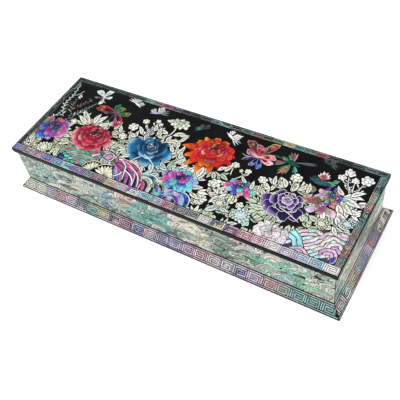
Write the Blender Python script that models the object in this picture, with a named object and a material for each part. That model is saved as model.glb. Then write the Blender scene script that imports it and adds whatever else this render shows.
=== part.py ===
"""A lacquered wooden pen case: a flat lid that lifts off, four walls as one
frame, and a base board whose sloping edge flares out under the walls.

Metres, +Z up, +X along the case. The origin is on the underside, at its
centre, and -Y is the front.
"""

import math

import bmesh
import bpy

# Lid
LID_LENGTH = 0.256
LID_WIDTH = 0.086
LID_THICKNESS = 0.0037
LID_CORNER_RADIUS = 0.0007
LID_EDGE_EASE = 0.00025
PLUG_DEPTH = 0.0022
PLUG_CLEARANCE = 0.0005
PLUG_EASE = 0.0006

# Walls
LID_OVERHANG = 0.0018
WALL_HEIGHT = 0.030
WALL_THICKNESS = 0.005
WALL_CORNER_RADIUS = 0.0005
WALL_EDGE_EASE = 0.0003
WELL_CORNER_RADIUS = 0.0012

# Base board
BASE_HEIGHT = 0.0071
BASE_FLARE = 0.006
BASE_LIP = 0.0008
BASE_CORNER_RADIUS = 0.0004
FLOOR_RISE = 0.0015
FLOOR_CLEARANCE = 0.0004
FLOOR_EASE = 0.0003

# Glue line and seat, as a gap between faces that touch
SEAT_GAP = 0.0003

CORNER_STEPS = 3

# Sizes that follow from the ones above
WALL_LENGTH = LID_LENGTH - 2 * LID_OVERHANG
WALL_WIDTH = LID_WIDTH - 2 * LID_OVERHANG
WELL_LENGTH = WALL_LENGTH - 2 * WALL_THICKNESS
WELL_WIDTH = WALL_WIDTH - 2 * WALL_THICKNESS
WALL_BOTTOM = BASE_HEIGHT + SEAT_GAP
WALL_TOP = WALL_BOTTOM + WALL_HEIGHT
LID_BOTTOM = WALL_TOP + SEAT_GAP
LID_TOP = LID_BOTTOM + LID_THICKNESS

LACQUER_COLOUR = (0.008, 0.009, 0.010, 1.0)
LACQUER_ROUGHNESS = 0.16


def rounded_rectangle(length, width, radius, z):
    """Corner points of a rectangle with rounded corners, anticlockwise."""
    points = []
    corners = [(1, 1, 0), (-1, 1, 90), (-1, -1, 180), (1, -1, 270)]
    for side_x, side_y, start in corners:
        centre_x = side_x * (length / 2 - radius)
        centre_y = side_y * (width / 2 - radius)
        for step in range(CORNER_STEPS + 1):
            angle = math.radians(start + 90 * step / CORNER_STEPS)
            x = centre_x + radius * math.cos(angle)
            y = centre_y + radius * math.sin(angle)
            points.append((x, y, z))
    return points


def loft(name, sections, closed_ring=False):
    """One solid through a list of loops, capped at both ends or closed on itself."""
    mesh = bmesh.new()
    loops = [[mesh.verts.new(point) for point in section] for section in sections]
    pairs = list(zip(loops, loops[1:]))
    if closed_ring:
        pairs.append((loops[-1], loops[0]))
    for lower, upper in pairs:
        count = len(lower)
        for i in range(count):
            j = (i + 1) % count
            mesh.faces.new((lower[i], lower[j], upper[j], upper[i]))
    if not closed_ring:
        mesh.faces.new(list(reversed(loops[0])))
        mesh.faces.new(loops[-1])
    bmesh.ops.recalc_face_normals(mesh, faces=mesh.faces)
    data = bpy.data.meshes.new(name)
    mesh.to_mesh(data)
    mesh.free()
    part = bpy.data.objects.new(name, data)
    bpy.context.scene.collection.objects.link(part)
    return part


def lacquer():
    """Black lacquer, polished."""
    material = bpy.data.materials.new("black_lacquer")
    material.use_nodes = True
    shader = material.node_tree.nodes["Principled BSDF"]
    shader.inputs["Base Color"].default_value = LACQUER_COLOUR
    shader.inputs["Roughness"].default_value = LACQUER_ROUGHNESS
    shader.inputs["Metallic"].default_value = 0.0
    return material


def base_board():
    """Board under the walls: a thin upright lip, a sloping edge and a raised floor."""
    length = WALL_LENGTH + 2 * BASE_FLARE
    width = WALL_WIDTH + 2 * BASE_FLARE
    floor_length = WELL_LENGTH - 2 * FLOOR_CLEARANCE
    floor_width = WELL_WIDTH - 2 * FLOOR_CLEARANCE
    floor_radius = WELL_CORNER_RADIUS
    floor_top = BASE_HEIGHT + FLOOR_RISE
    ease = FLOOR_EASE
    return loft(
        "base_board",
        [
            rounded_rectangle(length, width, BASE_CORNER_RADIUS, 0.0),
            rounded_rectangle(length, width, BASE_CORNER_RADIUS, BASE_LIP),
            rounded_rectangle(WALL_LENGTH, WALL_WIDTH, WALL_CORNER_RADIUS, BASE_HEIGHT),
            rounded_rectangle(floor_length, floor_width, floor_radius, BASE_HEIGHT),
            rounded_rectangle(floor_length, floor_width, floor_radius, floor_top - ease),
            rounded_rectangle(
                floor_length - 2 * ease, floor_width - 2 * ease, floor_radius, floor_top
            ),
        ],
    )


def case_walls():
    """Four upright walls, glued at the corners, as one frame open above and below."""
    ease = WALL_EDGE_EASE
    return loft(
        "case_walls",
        [
            rounded_rectangle(WALL_LENGTH, WALL_WIDTH, WALL_CORNER_RADIUS, WALL_BOTTOM),
            rounded_rectangle(
                WALL_LENGTH, WALL_WIDTH, WALL_CORNER_RADIUS, WALL_TOP - ease
            ),
            rounded_rectangle(
                WALL_LENGTH - 2 * ease, WALL_WIDTH - 2 * ease, WALL_CORNER_RADIUS, WALL_TOP
            ),
            rounded_rectangle(
                WELL_LENGTH + 2 * ease, WELL_WIDTH + 2 * ease, WELL_CORNER_RADIUS, WALL_TOP
            ),
            rounded_rectangle(
                WELL_LENGTH, WELL_WIDTH, WELL_CORNER_RADIUS, WALL_TOP - ease
            ),
            rounded_rectangle(WELL_LENGTH, WELL_WIDTH, WELL_CORNER_RADIUS, WALL_BOTTOM),
        ],
        closed_ring=True,
    )


def lid():
    """Flat lid that overhangs the walls, with a shallow plug that seats between them."""
    ease = LID_EDGE_EASE
    plug_length = WELL_LENGTH - 2 * PLUG_CLEARANCE
    plug_width = WELL_WIDTH - 2 * PLUG_CLEARANCE
    plug_bottom = LID_BOTTOM - PLUG_DEPTH
    return loft(
        "lid",
        [
            rounded_rectangle(
                plug_length - 2 * PLUG_EASE,
                plug_width - 2 * PLUG_EASE,
                WELL_CORNER_RADIUS,
                plug_bottom,
            ),
            rounded_rectangle(
                plug_length, plug_width, WELL_CORNER_RADIUS, plug_bottom + PLUG_EASE
            ),
            rounded_rectangle(plug_length, plug_width, WELL_CORNER_RADIUS, LID_BOTTOM),
            rounded_rectangle(
                LID_LENGTH - 2 * ease, LID_WIDTH - 2 * ease, LID_CORNER_RADIUS, LID_BOTTOM
            ),
            rounded_rectangle(
                LID_LENGTH, LID_WIDTH, LID_CORNER_RADIUS, LID_BOTTOM + ease
            ),
            rounded_rectangle(LID_LENGTH, LID_WIDTH, LID_CORNER_RADIUS, LID_TOP - ease),
            rounded_rectangle(
                LID_LENGTH - 2 * ease, LID_WIDTH - 2 * ease, LID_CORNER_RADIUS, LID_TOP
            ),
        ],
    )


def build():
    for old in list(bpy.data.objects):
        bpy.data.objects.remove(old)
    finish = lacquer()
    for part in (base_board(), case_walls(), lid()):
        part.data.materials.append(finish)


build()
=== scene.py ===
"""Looks of a lacquered pen case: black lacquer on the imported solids, and shell inlay.

Every face has a picture, drawn in painter's order from outlines in millimetres.
It is then cut flat, so that no two plates overlap, and each plate of shell is let
into the lacquer with sloping edges. The gaps between plates are bare lacquer.
"""

import collections
import math
import random

import bpy
from mathutils import Matrix, Vector
from mathutils.geometry import delaunay_2d_cdt

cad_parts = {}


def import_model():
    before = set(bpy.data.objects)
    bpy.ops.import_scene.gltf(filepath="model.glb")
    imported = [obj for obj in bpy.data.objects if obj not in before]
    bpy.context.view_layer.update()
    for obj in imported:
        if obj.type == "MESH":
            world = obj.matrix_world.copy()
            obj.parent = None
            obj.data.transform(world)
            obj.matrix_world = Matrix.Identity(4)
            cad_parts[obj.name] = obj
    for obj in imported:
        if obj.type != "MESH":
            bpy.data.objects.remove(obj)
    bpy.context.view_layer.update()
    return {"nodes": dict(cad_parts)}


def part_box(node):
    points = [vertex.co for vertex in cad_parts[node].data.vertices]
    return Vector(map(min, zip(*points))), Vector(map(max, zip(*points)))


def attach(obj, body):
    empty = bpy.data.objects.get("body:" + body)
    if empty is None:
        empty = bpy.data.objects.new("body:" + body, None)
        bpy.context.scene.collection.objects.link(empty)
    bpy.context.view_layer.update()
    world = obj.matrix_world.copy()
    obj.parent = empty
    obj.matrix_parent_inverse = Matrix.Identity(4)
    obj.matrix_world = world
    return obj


MM = 0.001
draw = random.Random(27)

# How a plate lies in the lacquer, in millimetres
PROUD = 0.02
SUNK = 0.05
EDGE_SLOPE = 0.03

# Bare lines, in millimetres: round a piece, round a leaf, along a vein, and the finest
GAP = 0.56
LEAF_GAP = 0.62
VEIN = 0.3
HAIRLINE = 0.13

# How far bare lacquer is laid beyond a face's edge, in millimetres
BEYOND = 20

# The ground between the keys of a border, as a share of its ink's light
GROUND_SHADE = 0.34

# A hand-shaped leaf's lobes, the outer ones first: angle, and length as a share of the leaf's size
HAND_LOBES = ((64, 0.6), (-64, 0.6), (34, 0.84), (-34, 0.84), (0, 1.0))

# A wing along +x, as shares of its length and width
WING = (
    (0.0, 0.0), (0.3, -0.16), (0.62, -0.34), (0.9, -0.36), (1.0, -0.2), (0.93, 0.0), (0.9, 0.2),
    (0.8, 0.36), (0.55, 0.42), (0.24, 0.26),
)

# How closely outlines are cut, in millimetres, and the least area that is drawn
MERGE = 0.0005
STRAIGHT = 0.004
SPECK = 0.002

# How much larger than its outline a shape may come out of the cut: a share, and an area
SPILL_SHARE = 1.02
SPILL_AREA = 0.01

# Sizes that the solids share with the part's source, in metres
BASE_LIP = 0.0008
SEAT_GAP = 0.0003

# The side of the square that each bake map covers, and the step between its rows of side faces,
# in millimetres
MAP_SIDE = 270.0
MAP_ROW = 34.0

Ink = collections.namedtuple("Ink", "shell colour grain")
BARE = None
OUTSIDE = -1


def rgb(code):
    """Linear colour from a hex code as it is seen."""
    found = []
    for i in (0, 2, 4):
        value = int(code[i : i + 2], 16) / 255
        found.append(value / 12.92 if value <= 0.04045 else ((value + 0.055) / 1.055) ** 2.4)
    return tuple(found)


def mix(a, b, share):
    """The colour that lies this share of the way from a to b."""
    return tuple(x + (y - x) * share for x, y in zip(a, b))


def white(code):
    return Ink("white_shell", rgb(code), 0.5)


def abalone(code):
    return Ink("abalone_shell", rgb(code), 0.5)


def dyed(code):
    return Ink("dyed_shell", rgb(code), 0.5)


def vary(ink, amount=0.12):
    """The same shell, as another piece of it would look."""
    light = 1 + draw.uniform(-amount, amount)
    return ink._replace(colour=tuple(c * light for c in ink.colour), grain=draw.random())


CREAM = white("dadccb")
IVORY = white("e6e6dc")
CELADON = white("c6d4be")
MINT = white("b4d6c4")
BLUSH = white("dccbc2")
PEARL = white("ebe9e8")
FROST = white("c6d6d6")
SAND = white("bcbda6")
ASH = white("838b85")
DUSK = white("525a57")
SMOKE = white("343b39")
STONE = white("93a398")

TEAL = abalone("2b8784")
SEA = abalone("3fa386")
AQUA = abalone("74c4c4")
SKY = abalone("6aa6cc")
BLUE = abalone("31569c")
NAVY = abalone("233266")
VIOLET = abalone("56479c")
PURPLE = abalone("71428c")
MAGENTA = abalone("983c7c")
PINK = abalone("cf90ac")
ROSE = abalone("a84c68")
LILAC = abalone("b09ec8")
MILK = abalone("ddd2d8")
STRAW = abalone("bcb060")
GREEN = abalone("427e56")
COPPER = abalone("ac6448")
BROWN = abalone("74504e")
PETROL = abalone("1f4a52")
SLATE = abalone("4a5c63")
INKY = abalone("222c2c")
PALE_AQUA = abalone("98dadc")
MINTY = abalone("b9d3b4")
STONE_GREEN = abalone("7f9a86")
PEARLY = abalone("e6e0ea")
PALE_ROSE = abalone("e0b6cc")
HOT = abalone("b8308c")
GRAPE = abalone("6a34a0")
ULTRA = abalone("2a48b4")
CYAN = abalone("3fc4c8")
EMERALD = abalone("22a478")

CRIMSON = dyed("8f1a3a")
WINE = dyed("4a0c1c")
SCARLET = dyed("b02822")
VERMILION = dyed("c6481f")
AMBER = dyed("e2983a")
CORAL = dyed("dc7878")
ROUGE = dyed("efb4b8")
COBALT = dyed("11507f")
DEEP_BLUE = dyed("082648")
ICE = dyed("a6d8e8")
INDIGO = dyed("190e3e")
ROYAL = dyed("2e1b66")
MAUVE = dyed("b096cc")
LEAF = dyed("1f7540")
BOTTLE = dyed("12403a")
LEMON = dyed("cfc23c")

# What an ink fades to when it is made paler
PALE = (0.86, 0.83, 0.80)


def shade(ink, light, paler=0.0):
    """The ink made lighter or darker, and then paler."""
    colour = mix(tuple(c * light for c in ink.colour), PALE, paler)
    return ink._replace(colour=colour)


# Outlines


def turned(points, at=(0, 0), turn=0.0, size=1.0, squash=1.0):
    """Outline points turned by degrees, sized, flattened upwards and moved."""
    c, s = math.cos(math.radians(turn)), math.sin(math.radians(turn))
    return [
        (at[0] + size * (x * c - y * s), at[1] + size * squash * (x * s + y * c))
        for x, y in points
    ]


def scaled(points, factor, about):
    return [(about[0] + (x - about[0]) * factor, about[1] + (y - about[1]) * factor) for x, y in points]


def lobe(length, width, start=0.0, steps=4, belly=0.85):
    """A pointed oval along +x."""
    low = []
    for i in range(1, steps):
        share = i / steps
        low.append((start + length * share, -width / 2 * math.sin(math.pi * share**belly)))
    high = [(x, -y) for x, y in reversed(low)]
    return [(start, 0.0)] + low + [(start + length, 0.0)] + high


def disc(radius, steps=9):
    angles = [math.tau * i / steps for i in range(steps)]
    return [(radius * math.cos(a), radius * math.sin(a)) for a in angles]


def petal(reach, spread, frill=0.035, notches=2, steps=9, point=0.0):
    """A petal that opens from a narrow foot along +x. Its outer edge is frilled and notched, and
    more or less pointed."""
    dips = [(draw.uniform(-0.7, 0.7), draw.uniform(0.05, 0.15)) for _ in range(notches)]
    points = [(0.08 * reach, -0.04 * reach), polar(0.44 * reach, -spread * 0.94)]
    for i in range(steps + 1):
        s = -1 + 2 * i / steps
        edge = 1 - (0.2 + point) * abs(s) ** (2 - point)
        edge -= sum(deep * math.exp(-(((s - dip) / 0.17) ** 2)) for dip, deep in dips)
        points.append(polar(reach * max(0.5, edge) * (1 + draw.uniform(-frill, frill)), spread * s))
    return points + [polar(0.44 * reach, spread * 0.94), (0.08 * reach, 0.04 * reach)]


def polar(radius, degrees):
    """The point at this radius and angle from the origin."""
    return radius * math.cos(math.radians(degrees)), radius * math.sin(math.radians(degrees))


def bend(start, middle, end, steps=8):
    """Points along a curve that leaves start towards middle and comes to end."""
    points = []
    for i in range(steps + 1):
        t = i / steps
        a, b, c = (1 - t) ** 2, 2 * t * (1 - t), t * t
        points.append((a * start[0] + b * middle[0] + c * end[0], a * start[1] + b * middle[1] + c * end[1]))
    return points


def through(points, steps=4):
    """A smooth path through the points."""
    ends = [points[0], *points, points[-1]]
    found = []
    for a, b, c, d in zip(ends, ends[1:], ends[2:], ends[3:]):
        for i in range(steps):
            t = i / steps
            spot = []
            for k in (0, 1):
                pull = 3 * (b[k] - c[k]) + d[k] - a[k]
                bow = 2 * a[k] - 5 * b[k] + 4 * c[k] - d[k]
                spot.append(b[k] + 0.5 * t * (c[k] - a[k] + t * (bow + t * pull)))
            found.append(tuple(spot))
    return found + [points[-1]]


def beside(path, offset, taper=0.0):
    """The path moved to its left. A taper brings its ends closer to it."""
    found = []
    last = len(path) - 1
    for i, (x, y) in enumerate(path):
        x0, y0 = path[max(i - 1, 0)]
        x1, y1 = path[min(i + 1, last)]
        run = math.hypot(x1 - x0, y1 - y0) or 1.0
        away = offset * (1 - taper * abs(2 * i / last - 1) ** 2)
        found.append((x - (y1 - y0) / run * away, y + (x1 - x0) / run * away))
    return found


def ribbon(path, width, taper=0.0):
    return beside(path, -width / 2, taper) + beside(path, width / 2, taper)[::-1]


# Pictures


class Picture:
    """Shapes in painter's order, in millimetres: each covers what came before it."""

    def __init__(self):
        self.shapes = []

    def add(self, points, ink=BARE):
        area = area_of(points)
        if abs(area) > SPECK:
            self.shapes.append((points if area > 0 else points[::-1], ink))

    def box(self, x0, y0, x1, y1, ink=BARE):
        self.add([(x0, y0), (x1, y0), (x1, y1), (x0, y1)], ink)

    def cut(self):
        """Corners, triangles and each triangle's shape, with covered parts and bare lacquer gone."""
        points, loops = [], []
        for outline, _ in self.shapes:
            loops.append(list(range(len(points), len(points) + len(outline))))
            points += [Vector(p) for p in outline]
        cut = delaunay_2d_cdt(points, [], loops, 1, MERGE, True)
        corners, triangles, origins = cut[0], cut[2], cut[5]
        covered = collections.Counter()
        for (a, b, c), found in zip(triangles, origins):
            area = area_of((corners[a], corners[b], corners[c]))
            for k in found:
                covered[k] += area
        # A shape that the cut has let out past its own outline is held to it again
        spilt = set()
        for k, area in covered.items():
            if area > SPILL_SHARE * area_of(self.shapes[k][0]) + SPILL_AREA:
                spilt.add(k)
        labels = []
        for (a, b, c), found in zip(triangles, origins):
            middle = (corners[a] + corners[b] + corners[c]) / 3
            held = [k for k in found if k not in spilt or holds(self.shapes[k][0], middle)]
            top = max(held, default=OUTSIDE)
            labels.append(top if top >= 0 and self.shapes[top][1] is not BARE else OUTSIDE)
        return refilled(corners, borders(corners, triangles, labels))


def area_of(points):
    """The area inside an outline that runs anticlockwise."""
    area = 0.0
    for i, (x1, y1) in enumerate(points):
        x0, y0 = points[i - 1]
        area += x0 * y1 - x1 * y0
    return area / 2


def holds(outline, spot):
    """Whether the spot lies inside the outline."""
    x, y = spot
    inside = False
    for i, (x1, y1) in enumerate(outline):
        x0, y0 = outline[i - 1]
        if (y0 > y) != (y1 > y) and x < x0 + (x1 - x0) * (y - y0) / (y1 - y0):
            inside = not inside
    return inside


def edges_of(triangle):
    return zip(triangle, triangle[1:] + triangle[:1])


def borders(corners, triangles, labels):
    """Edges between regions, each with the regions on its left and right, in few straight pieces."""
    left = {}
    for triangle, label in zip(triangles, labels):
        for edge in edges_of(triangle):
            left[edge] = label
    sides = {}
    for (a, b), label in left.items():
        other = left.get((b, a), OUTSIDE)
        if label != other and (b, a) not in sides:
            sides[a, b] = (label, other)
    around = collections.defaultdict(set)
    for a, b in sides:
        around[a].add(b)
        around[b].add(a)
    for v in list(around):
        if len(around[v]) != 2:
            continue
        a, b = around[v]
        before, after = sides_of(sides, a, v), sides_of(sides, v, b)
        run, step = corners[b] - corners[a], corners[v] - corners[a]
        if before != after or b in around[a] or run.length == 0:
            continue
        if abs(run.cross(step)) > STRAIGHT * run.length or not 0 < run.dot(step) < run.dot(run):
            continue
        for end in (a, b):
            sides.pop((end, v), None)
            sides.pop((v, end), None)
            around[end].discard(v)
        del around[v]
        sides[a, b] = before
        around[a].add(b)
        around[b].add(a)
    return sides


def sides_of(sides, a, b):
    """The regions on the left and right of the way from a to b."""
    return sides[a, b] if (a, b) in sides else sides[b, a][::-1]


def refilled(corners, sides):
    """Triangles that fill the regions again from their borders alone."""
    used = sorted({v for edge in sides for v in edge})
    place = {v: i for i, v in enumerate(used)}
    edges = list(sides)
    cut = delaunay_2d_cdt(
        [corners[v] for v in used], [(place[a], place[b]) for a, b in edges], [], 0, MERGE, True
    )
    points, lines, triangles, origins = cut[0], cut[1], cut[2], cut[4]
    wall = {}
    for (i, j), found in zip(lines, origins):
        if not found or found[0] >= len(edges):
            continue
        a, b = edges[found[0]]
        here, there = sides[a, b]
        if (points[j] - points[i]).dot(corners[b] - corners[a]) < 0:
            here, there = there, here
        wall[i, j], wall[j, i] = here, there
    owner = {}
    for t, triangle in enumerate(triangles):
        for edge in edges_of(triangle):
            owner[edge] = t
    labels = {}
    for t, triangle in enumerate(triangles):
        for edge in edges_of(triangle):
            if edge in wall:
                labels[t] = wall[edge]
    waiting = list(labels)
    while waiting:
        t = waiting.pop()
        for edge in edges_of(triangles[t]):
            other = owner.get((edge[1], edge[0]))
            if edge not in wall and other is not None and other not in labels:
                labels[other] = labels[t]
                waiting.append(other)
    kept = [(triangles[t], label) for t, label in labels.items() if label != OUTSIDE]
    return points, kept


Face = collections.namedtuple("Face", "origin across up outward map_at")


def plates(cut, shapes, shell, face, out):
    """Adds this shell's plates on this face to out, as closed plates with sloping sides."""
    points, kept = cut
    chosen = [(t, k) for t, k in kept if shapes[k][1].shell == shell]
    owner = {}
    for n, (triangle, _) in enumerate(chosen):
        for i, edge in enumerate(edges_of(triangle)):
            owner[edge] = (n, i)
    parent = list(range(3 * len(chosen)))

    def root(n):
        while parent[n] != n:
            parent[n] = parent[parent[n]]
            n = parent[n]
        return n

    # A corner is shared only between triangles that share one of its edges
    for (a, b), (n, i) in owner.items():
        twin = owner.get((b, a))
        if twin:
            m, j = twin
            parent[root(3 * n + i)] = root(3 * m + (j + 1) % 3)
            parent[root(3 * n + (i + 1) % 3)] = root(3 * m + j)
    rim = [(edge, n, i) for edge, (n, i) in owner.items() if (edge[1], edge[0]) not in owner]
    away = collections.defaultdict(lambda: Vector((0.0, 0.0)))
    for (a, b), n, i in rim:
        run = (points[b] - points[a]).normalized()
        for corner in (root(3 * n + i), root(3 * n + (i + 1) % 3)):
            away[corner] += Vector((run.y, -run.x))
    number = {}
    for n, (triangle, _) in enumerate(chosen):
        for i in range(3):
            corner = root(3 * n + i)
            if corner in number:
                continue
            number[corner] = len(out.points)
            spot = points[triangle[i]]
            slope = away[corner].normalized() * EDGE_SLOPE if corner in away else Vector((0.0, 0.0))
            for flat, height in ((spot, PROUD), (spot + slope, -SUNK)):
                out.points.append(
                    face.origin + face.across * flat.x + face.up * flat.y + face.outward * height
                )
                out.flat.append((flat.x + face.map_at[0], flat.y + face.map_at[1]))

    def colour_at(k, spot):
        ink = shapes[k][1]
        colour = ink.colour(spot.x, spot.y) if callable(ink.colour) else ink.colour
        return (*colour, ink.grain)

    for n, (triangle, k) in enumerate(chosen):
        top = [number[root(3 * n + i)] for i in range(3)]
        colours = [colour_at(k, points[v]) for v in triangle]
        out.faces.append(top)
        out.colours += colours
        out.faces.append([v + 1 for v in reversed(top)])
        out.colours += reversed(colours)
    for (a, b), n, i in rim:
        k = chosen[n][1]
        first, second = number[root(3 * n + i)], number[root(3 * n + (i + 1) % 3)]
        out.faces.append([second, first, first + 1, second + 1])
        out.colours += [colour_at(k, points[v]) for v in (b, a, a, b)]


class Plates:
    """What one inlay piece gathers before it becomes a mesh."""

    def __init__(self):
        self.points, self.flat, self.faces, self.colours = [], [], [], []


def inlay(name, shell, drawn, material):
    """One piece of inlay from pictures that are cut already, riding on the case."""
    out = Plates()
    for cut, shapes, face in drawn:
        plates(cut, shapes, shell, face, out)
    mesh = bpy.data.meshes.new(name)
    mesh.from_pydata([p * MM for p in out.points], [], out.faces)
    tint = mesh.color_attributes.new("tint", "FLOAT_COLOR", "CORNER")
    tint.data.foreach_set("color", [c for colour in out.colours for c in colour])
    flat_map = mesh.uv_layers.new(name="OFBake")
    for corner, loop in enumerate(mesh.loops):
        x, y = out.flat[loop.vertex_index]
        flat_map.uv[corner].vector = (x / MAP_SIDE, y / MAP_SIDE)
    mesh.materials.append(material)
    piece = bpy.data.objects.new(name, mesh)
    bpy.context.scene.collection.objects.link(piece)
    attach(piece, "root")


# Motifs


def wander(at, heading, steps, stride, curl):
    """A winding path whose heading turns one way and then the other."""
    points = [at]
    for i in range(steps):
        heading += curl * math.cos(1.5 * math.pi * i / steps) + draw.uniform(-9, 9)
        x, y = polar(stride, heading)
        points.append((points[-1][0] + x, points[-1][1] + y))
    return points


def arc(centre, radius, start, end, squash=1.0, steps=12):
    angles = [start + (end - start) * i / steps for i in range(steps + 1)]
    return turned([polar(radius, a) for a in angles], centre, 0, 1, squash)


def blade(pic, foot, way, length, width, ink, slit=0.0):
    """A pointed blade of shell with a bare gap round it and a slit along a share of its middle."""
    pic.add(turned(lobe(length + 2 * GAP, width + 2 * GAP, -GAP, 5, 0.75), foot, way))
    pic.add(turned(lobe(length, width, 0, 5, 0.75), foot, way), ink)
    if slit:
        pic.add(turned(lobe(length * slit, VEIN, length * 0.16, 2), foot, way))


def hand_leaf(pic, at, turn, size, ink):
    """Long pointed lobes that spread from one foot like fingers."""
    ink = vary(ink, 0.12)
    for angle, share in HAND_LOBES:
        length = share * size * draw.uniform(0.88, 1.1)
        width = length * draw.uniform(0.26, 0.32)
        blade(pic, at, turn + angle + draw.uniform(-5, 5), length, width, vary(ink, 0.08), 0.5)


def band(pic, path, wide, width, ink, tapers=(0.5, 0.5)):
    """A ribbon of shell on a wider bare one."""
    pic.add(ribbon(path, wide, tapers[0]))
    pic.add(ribbon(path, width, tapers[1]), ink)


def sliver(pic, at, way, bare, full, ink):
    """A pointed oval of shell on a larger bare one, each given as lobe takes it."""
    pic.add(turned(lobe(*bare), at, way))
    pic.add(turned(lobe(*full), at, way), ink)


def stem(pic, start, middle, end, ink, width=0.55):
    band(pic, bend(start, middle, end), width + 2 * GAP, width, ink, (0.3, 0.3))


def leaf(pic, foot, way, length, width, ink, lean=0.0):
    """A pointed leaf that bends to one side: a pale edge round a deeper field, slit along its veins."""

    def laid(long, wide, start, steps, chosen=BARE):
        outline = []
        for x, y in lobe(long, wide, start, steps, 0.75):
            outline.append((x, y + lean * length * math.sin(math.pi * min(1.0, max(0.0, x / length)))))
        pic.add(turned(outline, foot, way), chosen)

    laid(length + 2 * LEAF_GAP, width + 2 * LEAF_GAP, -LEAF_GAP, 6)
    laid(length, width, 0, 6, vary(ink, 0.06))
    laid(length * 0.7, width * 0.52, length * 0.14, 5, vary(shade(ink, 0.7), 0.12))
    laid(length * 0.8, VEIN, length * 0.05, 5)
    for share, side in ((0.28, 1), (0.36, -1), (0.5, 1), (0.58, -1)):
        spot = (share * length, lean * length * math.sin(math.pi * share))
        vein = turned(lobe(width * 0.5, VEIN, 0, 2), spot, side * 38)
        pic.add(turned(vein, foot, way))


def trefoil(pic, at, turn, size, ink):
    """Three broad leaves from one foot, the middle one the longest."""
    ink = vary(ink, 0.1)
    for angle, share in ((54, 0.74), (-54, 0.74), (0, 1.0)):
        length = share * size * draw.uniform(0.9, 1.12)
        way = turn + angle + draw.uniform(-9, 9)
        leaf(pic, at, way, length, length * draw.uniform(0.34, 0.42), ink, draw.uniform(-0.14, 0.14))


def blossom(pic, at, radius, petals, ink, heart, turn):
    """A small flower: rounded petals round a few inner ones."""
    squash = 0.9
    pic.add(turned(disc(radius + GAP), at, 0, 1, squash))
    for count, reach in ((petals, 1.0), (3, 0.6)):
        half = 180 / count
        for k in range(count):
            way = turn + 2 * half * k + draw.uniform(-5, 5)
            shape = petal(radius * reach * draw.uniform(0.9, 1.08), half * 0.88, 0.03, 1, 4)
            if reach < 1:
                pic.add(turned(scaled(shape, 1.3, (radius * 0.3, 0)), at, way, 1, squash))
            pic.add(turned(shape, at, way, 1, squash), vary(ink))
    pic.add(turned(disc(radius * 0.18, 6), at, 0, 1, squash), heart)


def chrysanthemum(pic, at, radius, ink, turn):
    """Two rings of narrow petals round a small heart."""
    squash = 0.85
    pic.add(turned(disc(radius * 0.8, 12), at, 0, 1, squash))
    for ring, (count, reach) in enumerate(((13, 1.0), (9, 0.62))):
        for k in range(count):
            way = turn + 360 * (k + 0.5 * ring) / count
            length = radius * reach * draw.uniform(0.88, 1.1)
            width = math.tau * radius * reach / count * 0.84
            shape = lobe(length * 0.84 + GAP, width + 1.8 * GAP, length * 0.14, 4, 1.3)
            pic.add(turned(shape, at, way, 1, squash))
            pic.add(turned(lobe(length * 0.84, width, length * 0.16, 4, 1.3), at, way, 1, squash), vary(ink))
    pic.add(turned(disc(radius * 0.16, 7), at, 0, 1, squash), vary(ink))


def spray(pic, foot, head, sway, heads, ink):
    """A stem with small blossoms to both sides and one at its head."""
    middle = ((foot[0] + head[0]) / 2 + sway, (foot[1] + head[1]) / 2)
    path = bend(foot, middle, head, 10)
    stem(pic, foot, middle, head, vary(ink))
    for share, side, reach, radius in heads:
        x, y = path[round(share * 10)]
        tip = (x + side * reach * 0.8, y + reach * 0.6)
        stem(pic, (x, y), (x + side * reach * 0.6, y), tip, vary(ink), 0.4)
        if radius > 0.9:
            blossom(pic, tip, radius, 5, ink, vary(ink), draw.uniform(0, 70))
        else:
            bare = (2.6 * radius + 0.4, 1.9 * radius, -radius)
            full = (2.6 * radius, 1.5 * radius, 0.1 - radius)
            sliver(pic, tip, 90 - 40 * side, bare, full, vary(ink))


def fade(centre, reach, root, body, rim):
    """A colour that changes outwards from a flower's heart, as dye laid behind the shell does."""

    def colour(x, y):
        away = math.dist((x, y), centre) / reach
        if away < 0.6:
            return mix(root, body, max(0.0, away - 0.25) / 0.35)
        return mix(body, rim, min(1.0, max(0.0, away - 0.74) / 0.22))

    return colour


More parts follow.
